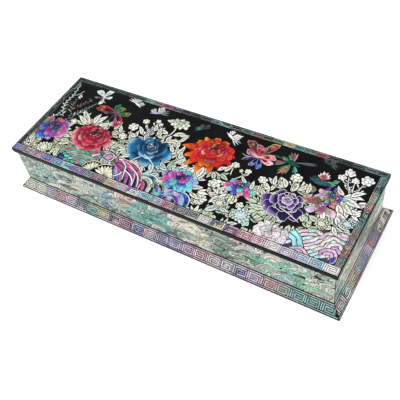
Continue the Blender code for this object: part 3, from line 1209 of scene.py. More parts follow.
def rocks(pic):
    """Curling rocks and waves of bright shell along the foot of the picture."""
    for outline, ink in GROUNDS:
        pic.add(outline, shade(ink, 0.4))
    for foot, way, length in (
        ((-97, -25), 25, 9), ((-98, -21), 10, 8), ((-97, -35), 60, 8), ((-92, -36), 95, 8),
        ((-99, -33), 110, 8), ((-112, -28), 130, 9), ((-117, -33), 100, 8), ((-121, -30), 78, 8),
        ((-60, -14), 72, 9), ((-63, -13), 96, 9), ((-57, -13), 50, 8),
    ):
        leaf(pic, foot, way, length, length * 0.38, CREAM, 0.1)
    strips = (SLATE, GREEN, BROWN, SEA, STONE_GREEN, EMERALD, SLATE, ROSE)
    ripples(pic, bend((-90, -25), (-76, -16), (-58, -22), 14), 9, 1.8, strips, 5, STONE, 0.5)
    for at, turn, ink in (
        ((-91, -31), 20, CYAN), ((-88, -30), -20, EMERALD), ((-85, -32.5), 10, CYAN),
        ((-81, -34), 30, AQUA), ((-78, -34.5), -10, EMERALD), ((-88, -34.5), 0, ULTRA),
        ((-66, -22), 10, EMERALD), ((-72, -23), -10, EMERALD),
    ):
        blade(pic, at, turn, 5.0, 2.2, vary(ink), 0.5)
    ridge = bend((-68, -21.5), (-53, -8), (-40.5, -25), 16)
    ripples(pic, ridge, 2, 2.8, (BROWN, PALE_ROSE, SLATE, COPPER, LILAC), 5)
    pic.add(turned(disc(4.6, 14), (-53.2, -20.5)), shade(SLATE, 0.7))
    ripples(pic, arc((-53.2, -20.5), 4.4, 200, -130, 1.0, 14), 1, 1.4, (MILK, PALE_ROSE), 7)
    pic.add(turned(lobe(6.5, 5.0, -3.0), (-53.4, -20.5), 30), nacre(PURPLE, PINK))
    for at, turn, reach in (((-57.5, -36), 100, 8), ((-46.5, -36.5), 84, 9.5)):
        pic.add(turned(disc(reach + 1.9, 16), at))
        for k in range(11):
            feather = lobe(reach * draw.uniform(0.88, 1.0), reach * 0.19, 0.6, 4, 1.6)
            pic.add(turned(feather, at, turn + 16 * (k - 5)), vary((CREAM, SAND)[k % 2]))
        pic.add(ribbon(arc(at, reach + 1.0, turn - 75, turn + 75), 0.6, 0.3), vary(CREAM))
    for path, width, first, second, line in CURRENTS:
        middle = through(path)
        band(pic, middle, width + 2 * GAP, width, nacre(first, second), (0.4, 0.5))
        pic.add(ribbon(beside(middle, -width * 0.22), VEIN, 0.8))
        if line is not BARE:
            pic.add(ribbon(beside(middle, width / 2 + 0.2, 0.3), 0.62, 0.4), vary(line))
    for path in FOAM:
        band(pic, through(path), 1.5, 0.8, vary(PEARL), (0.5, 0.4))
    hills = (NAVY, GRAPE, SKY, LILAC, CYAN, NAVY)
    ripples(pic, arc((7, -38.5), 11.0, 172, 20, 0.98, 14), 4, 2.6, hills, 6, LILAC, 0.6)
    leaf(pic, (-9, -31.5), 100, 4, 2.2, STRAW)
    pastel = (MILK, PALE_ROSE, PALE_AQUA, MILK, LILAC, PEARLY)
    for path, count in WAVES:
        ripples(pic, through(path), count, 2.6, pastel, 8, BARE, 0.5)
        pic.add(ribbon(through(path), HAIRLINE * 3, 0.5), vary(STRAW))
    for path, count, pitch, inks, break_at in (
        (((91, -23), (95.5, -25), (99, -28.5), (102, -34)), 1, 3.6, (AQUA, PALE_AQUA), 20),
        (((88, -26.5), (92, -27), (96, -30), (98, -35)), 1, 3.2, (AQUA, PALE_AQUA), 20),
        (((93, -37), (98, -33), (104, -34), (108, -38)), 2, 2.4, (PALE_ROSE, LILAC, MILK), 9),
    ):
        ripples(pic, through(path), count, pitch, inks, break_at, BARE, 0.3)
    curl = arc((117, -32), 5.6, 190, -60, 0.95, 12)
    ripples(pic, curl, 2, 2.4, (LILAC, PINK, PALE_ROSE), 5, BARE, 0.3)
    blade(pic, (119, -35.5), 60, 5, 2.2, vary(ULTRA), 0.5)
    soft = ((LILAC, MILK, MILK), (PALE_ROSE, MILK, MILK), (PALE_AQUA, MILK, PALE_ROSE))
    rings = ((7, 1.0, 1.2, soft), (5, 0.6, 1.2, soft))
    peony(pic, (79, -31.5), 25, 15, rings, (4, 0.14, (STRAW,)), 20, BARE, 0.1)


def orchid(pic):
    """A flower of a few long soft petals."""
    petals = ((172, 0.98), (228, 0.72), (337, 1.02), (282, 0.5), (150, 0.62))
    inks = (
        (BROWN, COPPER, PALE_ROSE), (BROWN, LILAC, MILK), (BROWN, PALE_ROSE, PURPLE), (BROWN, ROSE, LILAC),
        (BROWN, BROWN, PALE_ROSE),
    )
    peony(pic, (98.7, 1.2), 31, 31, ((petals, 1.0, 0.42, inks),), (5, 0.1, (STRAW, PINK, PALE_ROSE)), lift=0)


def sprays(pic):
    """Blossoms on stems that stand up against the black, and the leaves round their feet."""
    small = ((0.3, -1, 3.4, 0.8), (0.42, 1, 3.2, 0.8), (0.56, -1, 2.8, 0.7), (0.66, 1, 2.6, 0.7))
    for foot, head, sway, heads, radius in (
        ((-51, 2), (-54, 12.2), -1, (), 4.2),
        ((-40, 8), (-48, 20.5), 2, ((0.5, -1, 3, 0.8), (0.5, 1, 4.5, 1.6)), 3.0),
        ((-40, 8), (-39.5, 24), 1, ((0.6, 1, 4, 0.9), (0.7, -1, 2.6, 0.8)), 2.2),
        ((-38, 10), (-36, 22), -1, (), 1.9),
        ((38, -2), (43.5, 7.5), 2, ((0.5, 1, 3, 0.9), (0.6, -1, 4, 1.5)), 2.4),
        ((34, 0), (33, 9), -1, (), 3.0), ((58, -6), (55.5, 5), 1, ((0.5, 1, 3, 0.7),), 3.4),
        ((76, 4), (75, 15), -1, ((0.4, 1, 3, 0.8), (0.4, -1, 3, 0.8)), 4.4),
        ((66, 2), (66.5, 11), 0, ((0.4, -1, 3, 0.8),), 1.6), ((27, -18), (27.5, -11), 1, (), 4.6),
        ((112, 14), (104.5, 33), -3, small + ((0.5, -1, 7, 2.8), (0.62, 1, 5, 2.4)), 3.8),
        ((113, 14), (110, 28), -1, small[:2], 2.7), ((113, 12), (117, 31), -1, small, 4.6),
        ((-57, -4), (-56, 1), 0, (), 3.6), ((88, 4), (84, 12), 0, ((0.5, 1, 3, 0.8),), 1.9),
    ):
        ink = PEARL if foot[0] > 100 else IVORY
        spray(pic, foot, head, sway, heads, ink)
        blossom(pic, head, radius, 6 if radius > 2.5 else 5, ink, vary(CREAM), draw.uniform(0, 60))
    stem(pic, (-25, 14), (-22.5, 20), (-24, 24), vary(IVORY), 0.8)
    pale_petals = ((shade(CELADON, 0.6), CELADON, IVORY), (shade(CELADON, 0.7), IVORY, IVORY))
    outer = (
        (180, 1.3), (212, 0.9), (250, 0.9), (290, 0.9), (330, 1.0), (5, 0.95), (45, 0.9), (90, 0.9),
        (140, 0.9),
    )
    rings = [(spots, reach, 1.0, pale_petals) for spots, reach in ((outer, 1.0), (6, 0.66), (4, 0.36))]
    peony(pic, (-23, 28), 17, 12, rings, (3, 0.14, (IVORY,)), 0, BARE, 0.1)
    for foot, turn, length in (
        ((-26, 16), 160, 10), ((-22, 16), 24, 11), ((-30, 12), 140, 9), ((-14, 12), 60, 8),
        ((-18, 18), 14, 8), ((-37, 14), 110, 8), ((-33, 12), 90, 8), ((-44, 8), 130, 9), ((66, 4), 150, 9),
        ((64, 4), 100, 8), ((80, 6), 60, 9), ((72, 5), 125, 9), ((86, 6), 100, 9), ((-86, 3), 60, 13),
        ((-84, 3), 92, 11), ((-88, 2), 128, 11), ((-90, 0), 152, 12), ((-80, 3), 36, 10), ((-72, 5), 60, 9),
        ((-66, 4), 95, 8), ((-60, 3), 120, 8), ((29, 1), 70, 9), ((24, 0), 40, 8), ((52, -6), 100, 8),
        ((47, -2), 140, 7), ((108, 13), 15, 13), ((108, 12), -10, 13.5), ((108, 9), -34, 13),
        ((107, 6), -52, 12), ((109, 0), -20, 11), ((110, -3), -46, 10), ((112, 15), 42, 10),
        ((-10, 2), 74, 9), ((-12, 7), 110, 8), ((-6, -2), 100, 8), ((-13, 2), 130, 8), ((108, 14), 140, 9),
        ((113, -8), -20, 9), ((111, -11), -50, 8),
    ):
        ink = PEARL if foot[0] > 100 else IVORY
        leaf(pic, foot, turn + draw.uniform(-5, 5), length, length * 0.34, ink, draw.uniform(-0.12, 0.12))
    for at, radius, ink in (
        ((56, -27), 7.0, FROST), ((104, -12), 4.6, CREAM), ((39, -24), 4.6, CREAM),
        ((-105, -32), 6.0, CREAM), ((118, -6), 4.5, FROST),
    ):
        chrysanthemum(pic, at, radius, ink, draw.uniform(0, 20))
    for at, turn, ink in (
        ((90, 10), 130, COPPER), ((96, 13), 60, GRAPE), ((102, 13.5), 100, VIOLET), ((108, 10), 20, AQUA),
        ((88, 8), 60, GREEN), ((110, 5), 80, STRAW), ((-6, -2), 70, MINT), ((-8, -10), 20, MINT),
        ((88, 3), 70, PINK),
    ):
        sliver(pic, at, turn, (5.4, 2.9, -0.3), (4.8, 2.3), vary(ink))
        pic.add(turned(lobe(3.4, HAIRLINE, 0.6, 2), at, turn))


def creatures(pic):
    """Butterflies and birds against the black."""
    butterfly(
        pic, (-75, 19), -58,
        (
            (112, 10, 7, BOTTLE, (LEAF, BOTTLE), ()), (68, 8, 6, LEMON, (BOTTLE, LEAF), ()),
            (12, 12, -5.5, STRAW, (BOTTLE, LEAF), (LEMON,)), (196, 11, 3, ASH, (INKY,), ()),
            (178, 18, -8.5, COPPER, (CRIMSON, WINE), (AMBER, LEMON)), (258, 14, 2.6, ASH, (INKY,), ()),
            (-50, 15, 9.5, CORAL, (CRIMSON, WINE), (VERMILION, ROUGE)),
        ),
        VIOLET, LILAC,
    )
    butterfly(
        pic, (-94.5, 30), -58,
        (
            (148, 10.5, -6.5, PEARL, (FROST, FROST), ()), (76, 10, 6, PEARL, (FROST, FROST), ()),
            (14, 7, -4, FROST, (PEARL, FROST), ()), (-80, 8.5, 4.5, PEARL, (FROST,), ()),
            (202, 8, 2.2, ASH, (ASH,), ()),
        ),
        PEARL, FROST,
    )
    butterfly(
        pic, (44, 22), 200,
        (
            (136, 18, -8, CORAL, (BOTTLE, CRIMSON), (LEMON,)),
            (66, 18, 7.5, STRAW, (CRIMSON, BOTTLE), (CORAL,)), (112, 12, -6, ROUGE, (CRIMSON, SCARLET), ()),
            (86, 10, 5, ROUGE, (CRIMSON, SCARLET), ()), (168, 11, 5.5, MILK, (CRIMSON, ROUGE), (CORAL,)),
            (18, 12, 6.5, MILK, (CORAL, CRIMSON), (ROUGE,)),
            (-16, 12, -6, MILK, (ROUGE, CRIMSON), (CRIMSON,)), (-66, 11, 5, SKY, (VIOLET, ROYAL), ()),
            (-104, 10, 5, LILAC, (BLUE, INDIGO), ()), (210, 11, -4, BLUE, (INDIGO, VIOLET), ()),
        ),
        ROUGE, MILK,
    )
    bird(pic, (-66, 34), -25, 13, PEARL, FROST, PEARL)
    bird(pic, (-45, 31.5), 200, 14, LILAC, MILK, ASH, -1)
    bird(pic, (18, 31), 150, 14, PEARL, PEARL, FROST, -1)
    bird(pic, (-4.5, 31), 25, 10, SMOKE, DUSK, TEAL)
    bird(pic, (89, 35), 170, 11, SMOKE, DUSK, DUSK, -1)
    # A larger bird with a long bill and tail, and green and red plumage
    fan(pic, (68, 27), 14, 16, SLATE, 2, 6)
    fan(pic, (67, 26), 112, 11, [ROSE, BROWN, PINK, GREEN], 4, 14)
    fan(pic, (66.5, 24.5), 246, 13, [SEA, GREEN, ROSE, BOTTLE, COPPER], 5, 12)
    fan(pic, (63, 25), 205, 9, [ROSE, GREEN, BROWN], 3, 13)
    fan(pic, (69, 24), -58, 7, [SEA, TEAL], 3, 14)
    for at, way, long, wide, ink in (
        ((59, 27), 172, 7, 1.0, DUSK), ((73, 24.5), 168, 14, 4.2, BOTTLE),
        ((64, 26.4), 160, 6.6, 3.2, LEAF), ((62, 26.8), 170, 3.2, 1.6, ROSE),
    ):
        sliver(pic, at, way, (long + 0.5, wide + 0.6, -0.25), (long, wide), vary(ink))
    # A crested bird with dark wings
    fan(pic, (91, 19.5), 176, 10, [PETROL, BOTTLE], 4, 12)
    fan(pic, (92, 19.5), -6, 9, [PETROL, SEA], 4, 12)
    pic.add(turned(lobe(15, 5.4, -7.5), (91, 18.5), 0), vary(PETROL))
    fan(pic, (90.5, 21), 92, 7.4, [PEARL, ROUGE, MILK], 6, 22)
    fan(pic, (90.5, 20.6), 92, 4.8, [CORAL, ROSE], 5, 24)
    fan(pic, (97, 20.5), 40, 5.5, [SEA, GREEN], 3, 20)


# Grasses that hang over the violet and the blue flower
TENDRILS = (
    ((75, -11), (82, -13), (91, -17)), ((-31, -8), (-25, -10.5), (-19, -14)),
    ((-31, -9), (-34, -13), (-36, -16)),
)

# The border's width at the front, the sides and the back
BORDER = (6.8, 5.4, 4.6)

# Sections of colour along each band: where each ends, in millimetres from the band's middle, and its ink
LID_FRONT = (
    (-118, VIOLET), (-112, BROWN), (-104, LILAC), (-98, MAGENTA), (-88, ULTRA), (-82, BLUE), (-76, CYAN),
    (-70, ULTRA), (-60, GRAPE), (-47, SLATE), (-38, ROSE), (-31, STRAW), (-24, LILAC), (-17, MILK),
    (-12, GRAPE), (-6, CYAN), (0, LILAC), (4, TEAL), (16, ROSE), (31, SLATE), (40, MILK), (46, STRAW),
    (56, NAVY), (68, ROSE), (80, PINK), (92, MILK), (106, LILAC), (118, SKY), (128, MILK),
)

LID_RIGHT = (
    (-34, GREEN), (-28, BROWN), (-20, COPPER), (-12, SLATE), (-6, BROWN), (0, TEAL), (7, INKY), (12, GREEN),
    (17, COPPER), (25, SEA), (34, PETROL), (43, TEAL),
)

LID_BACK = (
    (-70, INKY), (-62, PETROL), (-54, SEA), (-40, ROSE), (-32, PURPLE), (-6, INKY), (0, SLATE), (9, SEA),
    (20, INKY), (28, SLATE), (38, BROWN), (44, INKY), (52, GREEN), (62, STRAW), (74, TEAL), (84, ROSE),
    (110, INKY), (128, PETROL),
)

LID_LEFT = ((-20, INKY), (0, INKY), (43, INKY))


def lid_picture(half_length, half_width):
    pic = Picture()
    foliage(pic)
    twigs(pic)
    rocks(pic)
    for at, width, height, turn, rings, heart, line in FLOWERS:
        peony(pic, at, width, height, rings, heart, turn, line)
    for points in TENDRILS:
        band(pic, through(points), 1.1, 0.6, vary(PEARL))
    orchid(pic)
    sprays(pic)
    creatures(pic)
    front, side, back = BORDER
    reach = half_length + BEYOND
    pic.box(-reach, -half_width - BEYOND, reach, front - half_width)
    pic.box(-reach, half_width - back, reach, half_width + BEYOND)
    pic.box(-reach, -half_width, side - half_length, half_width)
    pic.box(half_length - side, -half_width, reach, half_width)
    length, width = 2 * half_length - 1.4, 2 * half_width - front - back
    corner = (0.7 - half_length, 0.7 - half_width)
    fret(pic, corner, 0, length, 1.0, 3, 1.36, 0.74, 5, LID_FRONT, ((0.2, 0.4),), (0.1, 0.6))
    corner = (half_length - 0.7, front - half_width)
    fret(pic, corner, 90, width, 0.9, 3, 1.04, 0.56, 5, LID_RIGHT, ((0.2, 0.3),), (0.0, 0.45))
    corner = (half_length - 0.6, half_width - 0.5)
    lines = ((0.3, 0.5), (3.8, 0.4))
    fret(pic, corner, 180, length + 0.2, 1.15, 2, 0.9, 0.44, 7, flipped(LID_BACK), lines, (0.0, 0.5))
    corner = (0.6 - half_length, half_width - back)
    lines = ((0.4, 0.5), (4.5, 0.3))
    fret(pic, corner, 270, width, 1.3, 2, 1.15, 0.44, 7, flipped(LID_LEFT), lines, (0.1, 0.9))
    return pic


def flipped(sections):
    """Sections for a band that runs the other way, with the starts where the ends were."""
    starts = [-1000.0] + [end for end, _ in sections[:-1]]
    return tuple((-start, ink) for start, (_, ink) in reversed(list(zip(starts, sections))))


# Walls

WALL_INKS = (
    white("a8b4aa"), white("8a978f"), white("c6ccc1"), white("5f6e69"), white("b8b4ac"), white("98aaa6"),
    white("d4d8cd"),
)

# Centre along the wall and up it, radius and ink
WALL_PATCHES = (
    ((-104, 17), 12, abalone("7fa69a")), ((-42, 16), 8, abalone("6f94a6")),
    ((-46, 8), 7, abalone("86a39c")), ((-10, 15), 13, abalone("55a79b")), ((2, 9), 9, abalone("6e9aa8")),
    ((-28, 23), 7, white("d8bcb6")), ((24, 19), 10, white("d9d4c8")), ((52, 16), 14, white("7f8c84")),
    ((78, 14), 8, abalone("5fae8e")), ((98, 12), 13, abalone("8fc7ae")), ((92, 8), 8, abalone("93a5b0")),
    ((60, 24), 9, white("ccb9b4")), ((84, 22), 11, white("dcd8ce")), ((70, 10), 9, white("c8c6bc")),
    ((120, 10), 12, white("d6d4c8")), ((-76, 8), 9, white("c9bdae")), ((112, 20), 12, white("dcd6c8")),
    ((-118, 22), 9, white("8e9690")), ((-16, 5), 6, white("dcc2bc")), ((38, 6), 9, white("cfc9b4")),
)

# How far the patches are shifted along the front, right, back and left wall
WALL_SHIFTS = (0, 40, 15, -60)

# The step between a hill's bands, and the bare line between them, in millimetres
HILL_PITCH = 2.6
HILL_GAP = 0.42


def hill(pic, at, radius, ratio, inks):
    """A hill of striped shell: arched bands, cut across here and there."""
    phase, second = draw.uniform(0, math.tau), draw.uniform(0, math.tau)
    tilt = draw.uniform(-22, 22)

    def arch(r):
        points = []
        for i in range(15):
            a = math.radians(-25 + 230 * i / 14)
            r_here = r * (1 + 0.12 * math.sin(3 * a + phase) + 0.07 * math.sin(6 * a + second))
            points.append((r_here * math.cos(a), ratio * r_here * math.sin(a)))
        return turned(points, at, tilt)

    r = radius
    while r > 1.2:
        pic.add(arch(r))
        pic.add(arch(r - HILL_GAP), vary(draw.choice(inks), 0.2))
        r -= HILL_PITCH * draw.uniform(0.75, 1.25)
    for _ in range(int(radius * 0.4)):
        angle, near = draw.uniform(-10, 190), draw.uniform(0.2, 0.8) * radius
        foot = turned([polar(near, angle)], at, tilt, 1, ratio)[0]
        slit = lobe(draw.uniform(1.6, 3.2), HILL_GAP, 0, 2)
        pic.add(turned(slit, foot, tilt + angle + draw.uniform(-40, 40)))


def pine(pic, at, size, ink):
    """A clump of needles: a half round fan, slit between its needles."""
    shape = [polar(size * draw.uniform(0.9, 1.1), a) for a in range(0, 181, 20)]
    pic.add(turned(scaled(shape, 1 + 0.6 / size, (0, size * 0.4)), at))
    pic.add(turned(shape, at), vary(ink))
    for a in range(15, 180, 25):
        pic.add(turned(lobe(size * 0.8, 0.24, size * 0.22, 2), at, a + draw.uniform(-4, 4)))


def wall_picture(half_length, height, shift):
    """Rows of striped rocks from the far ones down, with pines and winding pale bands over them."""
    pic = Picture()
    for row in range(6):
        level = height * (1.0 - 0.19 * row) - 3.2
        x = -half_length - 4 + draw.uniform(0, 5)
        while x < half_length + 8:
            here = patch_ink(WALL_PATCHES, x + shift, level + 3, None)
            inks = WALL_INKS if here is None else (here, here, shade(here, 0.6), draw.choice(WALL_INKS))
            spot = (x, level + draw.uniform(-3, 3))
            hill(pic, spot, draw.uniform(7.0, 13.0), draw.uniform(0.35, 0.7), inks)
            if draw.random() < 0.2:
                foot = (x + draw.uniform(-4, 4), level + draw.uniform(1, 4))
                pine(pic, foot, draw.uniform(2.0, 3.2), inks[0])
            x += draw.uniform(7, 12)
    for _ in range(int(half_length * 0.25)):
        at = (draw.uniform(-half_length, half_length), draw.uniform(1, height - 2))
        pic.add(turned(lobe(draw.uniform(2, 5), draw.uniform(0.7, 1.5)), at, draw.uniform(-30, 60)))
    for _ in range(int(half_length * 0.42)):
        at = (draw.uniform(-half_length, half_length), draw.uniform(1, height - 2))
        path = wander(at, draw.uniform(-40, 220), 7, draw.uniform(0.8, 1.5), draw.choice((-30, 30)))
        ink = vary(draw.choice((PEARL, IVORY, FROST, FROST, CELADON, BLUSH)))
        band(pic, path, 1.8, 1.0, ink, (0.8, 0.9))
    reach, edge, end = half_length + 30, 0.5, 0.4
    pic.box(-reach, -BEYOND, reach, edge)
    pic.box(-reach, height - edge, reach, height + BEYOND)
    pic.box(-reach, -BEYOND, end - half_length, height + BEYOND)
    pic.box(half_length - end, -BEYOND, reach, height + BEYOND)
    return pic


# Skirt

SKIRT_FRONT = (
    (-120, CELADON), (-112, CREAM), (-98, LILAC), (-92, ROSE), (-84, PINK), (-74, LILAC), (-66, SLATE),
    (-58, TEAL), (-50, STRAW), (-42, PINK), (-34, NAVY), (-26, MAGENTA), (-18, VIOLET), (-12, SKY),
    (-2, PINK), (10, BLUE), (20, LILAC), (30, MAGENTA), (42, PINK), (52, MILK), (62, VIOLET), (76, LILAC),
    (84, PINK), (92, ROSE), (100, SEA), (140, TEAL),
)

SKIRT_RIGHT = (
    (-44, MILK), (-40, EMERALD), (-36, PINK), (-32, SLATE), (-29, SEA), (-25, MILK), (-22, EMERALD),
    (-18, STRAW), (-15, ROSE), (-11, TEAL), (-7, LILAC), (-3, SEA), (1, GRAPE), (5, LILAC), (9, ULTRA),
    (13, PINK), (17, VIOLET), (21, ROSE), (25, BROWN), (29, SLATE), (34, MILK), (38, BROWN), (60, CREAM),
)


def skirt_picture(half_length, slope, draw_in, sections):
    pic = Picture()
    lean = draw_in / slope
    lines = ((0.8, 0.55), (slope - 0.8, 0.6))
    fret(pic, (-half_length, 0), 0, 2 * half_length, 2.1, 3, 1.5, 0.74, 5, sections, lines, (0.3, 0.7), lean)
    reach = half_length + BEYOND
    # Bare lacquer along the mitred ends
    for side in (-1, 1):
        foot, top = side * (half_length - 0.5), side * (half_length - draw_in - 0.5)
        pic.add([(foot, -0.1), (side * reach, -0.1), (side * reach, slope + 0.1), (top, slope + 0.1)])
    return pic


# Materials

# Hue swing, light swing, lustre, painted glint and roughness of each kind of shell
SHELLS = {
    "white_shell": (0.02, 0.14, 0.3, 0.0, 0.30),
    "abalone_shell": (0.07, 0.42, 0.4, 0.5, 0.26),
    "dyed_shell": (0.012, 0.2, 0.1, 0.06, 0.28),
}

# Colours that drift over the shell, and the pale colour of the glints painted on it
GREEN_LUSTRE = (0.62, 1.0, 0.84)
CREAM_LUSTRE = (1.0, 0.98, 0.90)
ROSE_LUSTRE = (1.0, 0.74, 0.80)
# The pale colour that is painted in as glints on the shell
PAINTED_GLINT = (0.72, 0.80, 0.84, 1)


def feed(tree, socket, value):
    """Links another node's output to the socket, or sets the socket to a value."""
    if isinstance(value, bpy.types.NodeSocket):
        tree.links.new(value, socket)
    else:
        socket.default_value = value


def wire(tree, name, **inputs):
    """A node of this kind with its inputs fed."""
    node = tree.nodes.new(name)
    for key, value in inputs.items():
        feed(tree, node.inputs[key.replace("_", " ")], value)
    return node


def noise(tree, place, scale, detail, distortion=0.0):
    node = wire(tree, "ShaderNodeTexNoise", Vector=place, Scale=scale, Detail=detail, Distortion=distortion)
    return node.outputs["Fac"]


def product(tree, first, second):
    node = tree.nodes.new("ShaderNodeMath")
    node.operation = "MULTIPLY"
    feed(tree, node.inputs[0], first)
    feed(tree, node.inputs[1], second)
    return node.outputs[0]


def ranged(tree, value, low, high, to_low, to_high):
    """The value carried from one range to another and held within it."""
    node = tree.nodes.new("ShaderNodeMapRange")
    tree.links.new(value, node.inputs["Value"])
    for key, number in (("From Min", low), ("From Max", high), ("To Min", to_low), ("To Max", to_high)):
        node.inputs[key].default_value = number
    return node.outputs["Result"]


def ramped(tree, value, low, high, *between):
    """The colour that a ramp gives a value. Each stop is its position and its colour."""
    ramp = tree.nodes.new("ShaderNodeValToRGB")
    tree.links.new(value, ramp.inputs["Fac"])
    stops = ramp.color_ramp.elements
    for stop, (position, colour) in zip(stops, (low, high)):
        stop.position, stop.color = position, (*colour, 1)
    for position, colour in between:
        stops.new(position).color = (*colour, 1)
    return ramp.outputs["Color"]


def blend(tree, kind, share, first, second):
    """The colour of two blended: each is a value or another node's output."""
    node = tree.nodes.new("ShaderNodeMix")
    node.data_type = "RGBA"
    node.blend_type = kind
    for socket, value in ((node.inputs["Factor"], share), (node.inputs[6], first), (node.inputs[7], second)):
        feed(tree, socket, value)
    return node.outputs[2]


def new_material(name):
    material = bpy.data.materials.new(name)
    material.use_nodes = True
    tree = material.node_tree
    shader = tree.nodes["Principled BSDF"]
    place = tree.nodes.new("ShaderNodeTexCoord").outputs["Object"]
    return material, tree, shader, place


def lacquer_material():
    """Black lacquer: deep and polished, with a faint ripple and a little dust in its gloss."""
    material, tree, shader, place = new_material("black_lacquer_finish")
    cloudy = noise(tree, place, 60.0, 3.0)
    dust = noise(tree, place, 1400.0, 2.0)
    ripple = noise(tree, place, 160.0, 1.0)
    black = ramped(tree, cloudy, (0.3, (0.0022, 0.0022, 0.0026)), (0.75, (0.006, 0.0066, 0.0066)))
    feed(tree, shader.inputs["Base Color"], black)
    feed(tree, shader.inputs["Roughness"], ranged(tree, dust, 0.45, 0.8, 0.13, 0.26))
    feed(tree, shader.inputs["Specular IOR Level"], 0.05)
    bump = wire(tree, "ShaderNodeBump", Height=ripple, Strength=0.05, Distance=0.0004)
    feed(tree, shader.inputs["Normal"], bump.outputs["Normal"])
    return material


def shell_material(name, hue_swing, light_swing, lustre, painted_glint, roughness):
    """Shell under clear lacquer. The tint is the piece's own; grain, growth lines and drifts of
    colour come from where it is and from which piece it is, and so do pale flecks of painted glint."""
    material, tree, shader, place = new_material(name)
    tint = tree.nodes.new("ShaderNodeAttribute")
    tint.attribute_name = "tint"
    colour, grain = tint.outputs["Color"], tint.outputs["Alpha"]
    # Each piece is cut from another spot of the shell
    shifted = wire(tree, "ShaderNodeCombineXYZ", X=grain, Y=grain, Z=grain).outputs[0]
    spot = tree.nodes.new("ShaderNodeVectorMath")
    spot.operation = "ADD"
    feed(tree, spot.inputs[0], place)
    feed(tree, spot.inputs[1], shifted)
    spot = spot.outputs[0]
    drift = noise(tree, spot, 260.0, 2.0, 1.6)
    fine = noise(tree, spot, 520.0, 3.0, 1.5)
    wave = wire(tree, "ShaderNodeTexWave", Vector=spot, Scale=420.0, Distortion=6.0, Detail=2.0)
    growth = wave.outputs["Fac"]
    hue = ranged(tree, drift, 0.3, 0.7, 0.5 - hue_swing, 0.5 + hue_swing)
    light = ranged(tree, fine, 0.3, 0.7, 1 - light_swing, 1 + light_swing)
    lines = ranged(tree, growth, 0.0, 1.0, 1 - light_swing * 0.6, 1 + light_swing * 0.3)
    value = product(tree, light, lines)
    swung = wire(tree, "ShaderNodeHueSaturation", Hue=hue, Saturation=1.1, Value=value, Color=colour)
    drifts = ramped(tree, drift, (0.32, GREEN_LUSTRE), (0.68, ROSE_LUSTRE), (0.5, CREAM_LUSTRE))
    lustrous = blend(tree, "MULTIPLY", lustre, swung.outputs["Color"], drifts)
    # Painted glints: pale flecks mixed into the colour, the stronger the lighter the shell
    bright = wire(tree, "ShaderNodeRGBToBW", Color=colour).outputs["Val"]
    glint_strength = ranged(tree, bright, 0.02, 0.3, 0.0, painted_glint)
    glint_flecks = ranged(tree, product(tree, fine, growth), 0.22, 0.5, 0.0, 1.0)
    glinted = blend(tree, "MIX", product(tree, glint_strength, glint_flecks), lustrous, PAINTED_GLINT)
    feed(tree, shader.inputs["Base Color"], glinted)
    gloss = ranged(tree, fine, 0.3, 0.7, roughness - 0.06, roughness + 0.1)
    feed(tree, shader.inputs["Roughness"], gloss)
    for key, number in (("Specular IOR Level", 0.1), ("Coat Weight", 0.08), ("Coat Roughness", 0.08)):
        feed(tree, shader.inputs[key], number)
    bump = wire(tree, "ShaderNodeBump", Height=growth, Strength=0.08, Distance=0.0001)
    feed(tree, shader.inputs["Normal"], bump.outputs["Normal"])
    return material


def floor_material():
    """Smooth white board for the case to stand on."""
    material, tree, shader, place = new_material("pale_floor")
    board = ramped(tree, noise(tree, place, 30.0, 2.0), (0.0, (0.95, 0.95, 0.95)), (1.0, (0.97, 0.97, 0.97)))
    for key, value in (
        ("Base Color", board), ("Roughness", 0.9), ("Specular IOR Level", 0.1),
        ("Emission Color", (1, 1, 1, 1)), ("Emission Strength", 0.2),
    ):
        feed(tree, shader.inputs[key], value)
    return material


# Stage

# Name, place, width and watts
SOFTBOXES = (
    ("key", (-0.5, -0.7, 0.9), 0.9, 4.5), ("fill", (0.9, -0.2, 0.7), 0.8, 2.0),
    ("top", (-0.1, 0.3, 1.2), 0.9, 3.0),
)


def add_floor():
    mesh = bpy.data.meshes.new("floor")
    side = 3.0
    corners = [(-side, -side, 0), (side, -side, 0), (side, side, 0), (-side, side, 0)]
    mesh.from_pydata(corners, [], [(0, 1, 2, 3)])
    mesh.materials.append(floor_material())
    floor = bpy.data.objects.new("floor", mesh)
    bpy.context.scene.collection.objects.link(floor)


def add_softbox(name, at, size, watts):
    """A round lamp that faces the case."""
    light = bpy.data.lights.new(name, "AREA")
    light.shape = "DISK"
    light.size = size
    light.energy = watts
    box = bpy.data.objects.new(name, light)
    box.location = at
    box.rotation_euler = (-Vector(at)).to_track_quat("-Z", "Y").to_euler()
    bpy.context.scene.collection.objects.link(box)


def add_camera():
    """The photograph's view: direction, distance and tilt found from the case's edges."""
    azimuth, elevation, roll = math.radians(39.77), math.radians(50.12), math.radians(-11.81)
    place = Vector((0.19112, -0.22511, 0.34978))
    level = math.cos(elevation)
    back = Vector((math.sin(azimuth) * level, -math.cos(azimuth) * level, math.sin(elevation)))
    right = Vector((0, 0, 1)).cross(back).normalized()
    up = back.cross(right)
    tilted_right = right * math.cos(roll) + up * math.sin(roll)
    tilted_up = up * math.cos(roll) - right * math.sin(roll)
    data = bpy.data.cameras.new("camera")
    data.sensor_width = 36.0
    data.lens = 55.74
    data.clip_start = 0.01
    camera = bpy.data.objects.new("camera", data)
    facing = Matrix((tilted_right, tilted_up, back)).transposed().to_4x4()
    camera.matrix_world = Matrix.Translation(place) @ facing
    bpy.context.scene.collection.objects.link(camera)
    bpy.context.scene.camera = camera


def add_light():
    world = bpy.data.worlds.new("studio")
    world.use_nodes = True
    background = world.node_tree.nodes["Background"]
    background.inputs["Color"].default_value = (1.0, 1.0, 1.0, 1)
    background.inputs["Strength"].default_value = 0.85
    bpy.context.scene.world = world
    for name, at, size, watts in SOFTBOXES:
        add_softbox(name, at, size, watts)
    bpy.context.scene.view_settings.view_transform = "Standard"


# The case

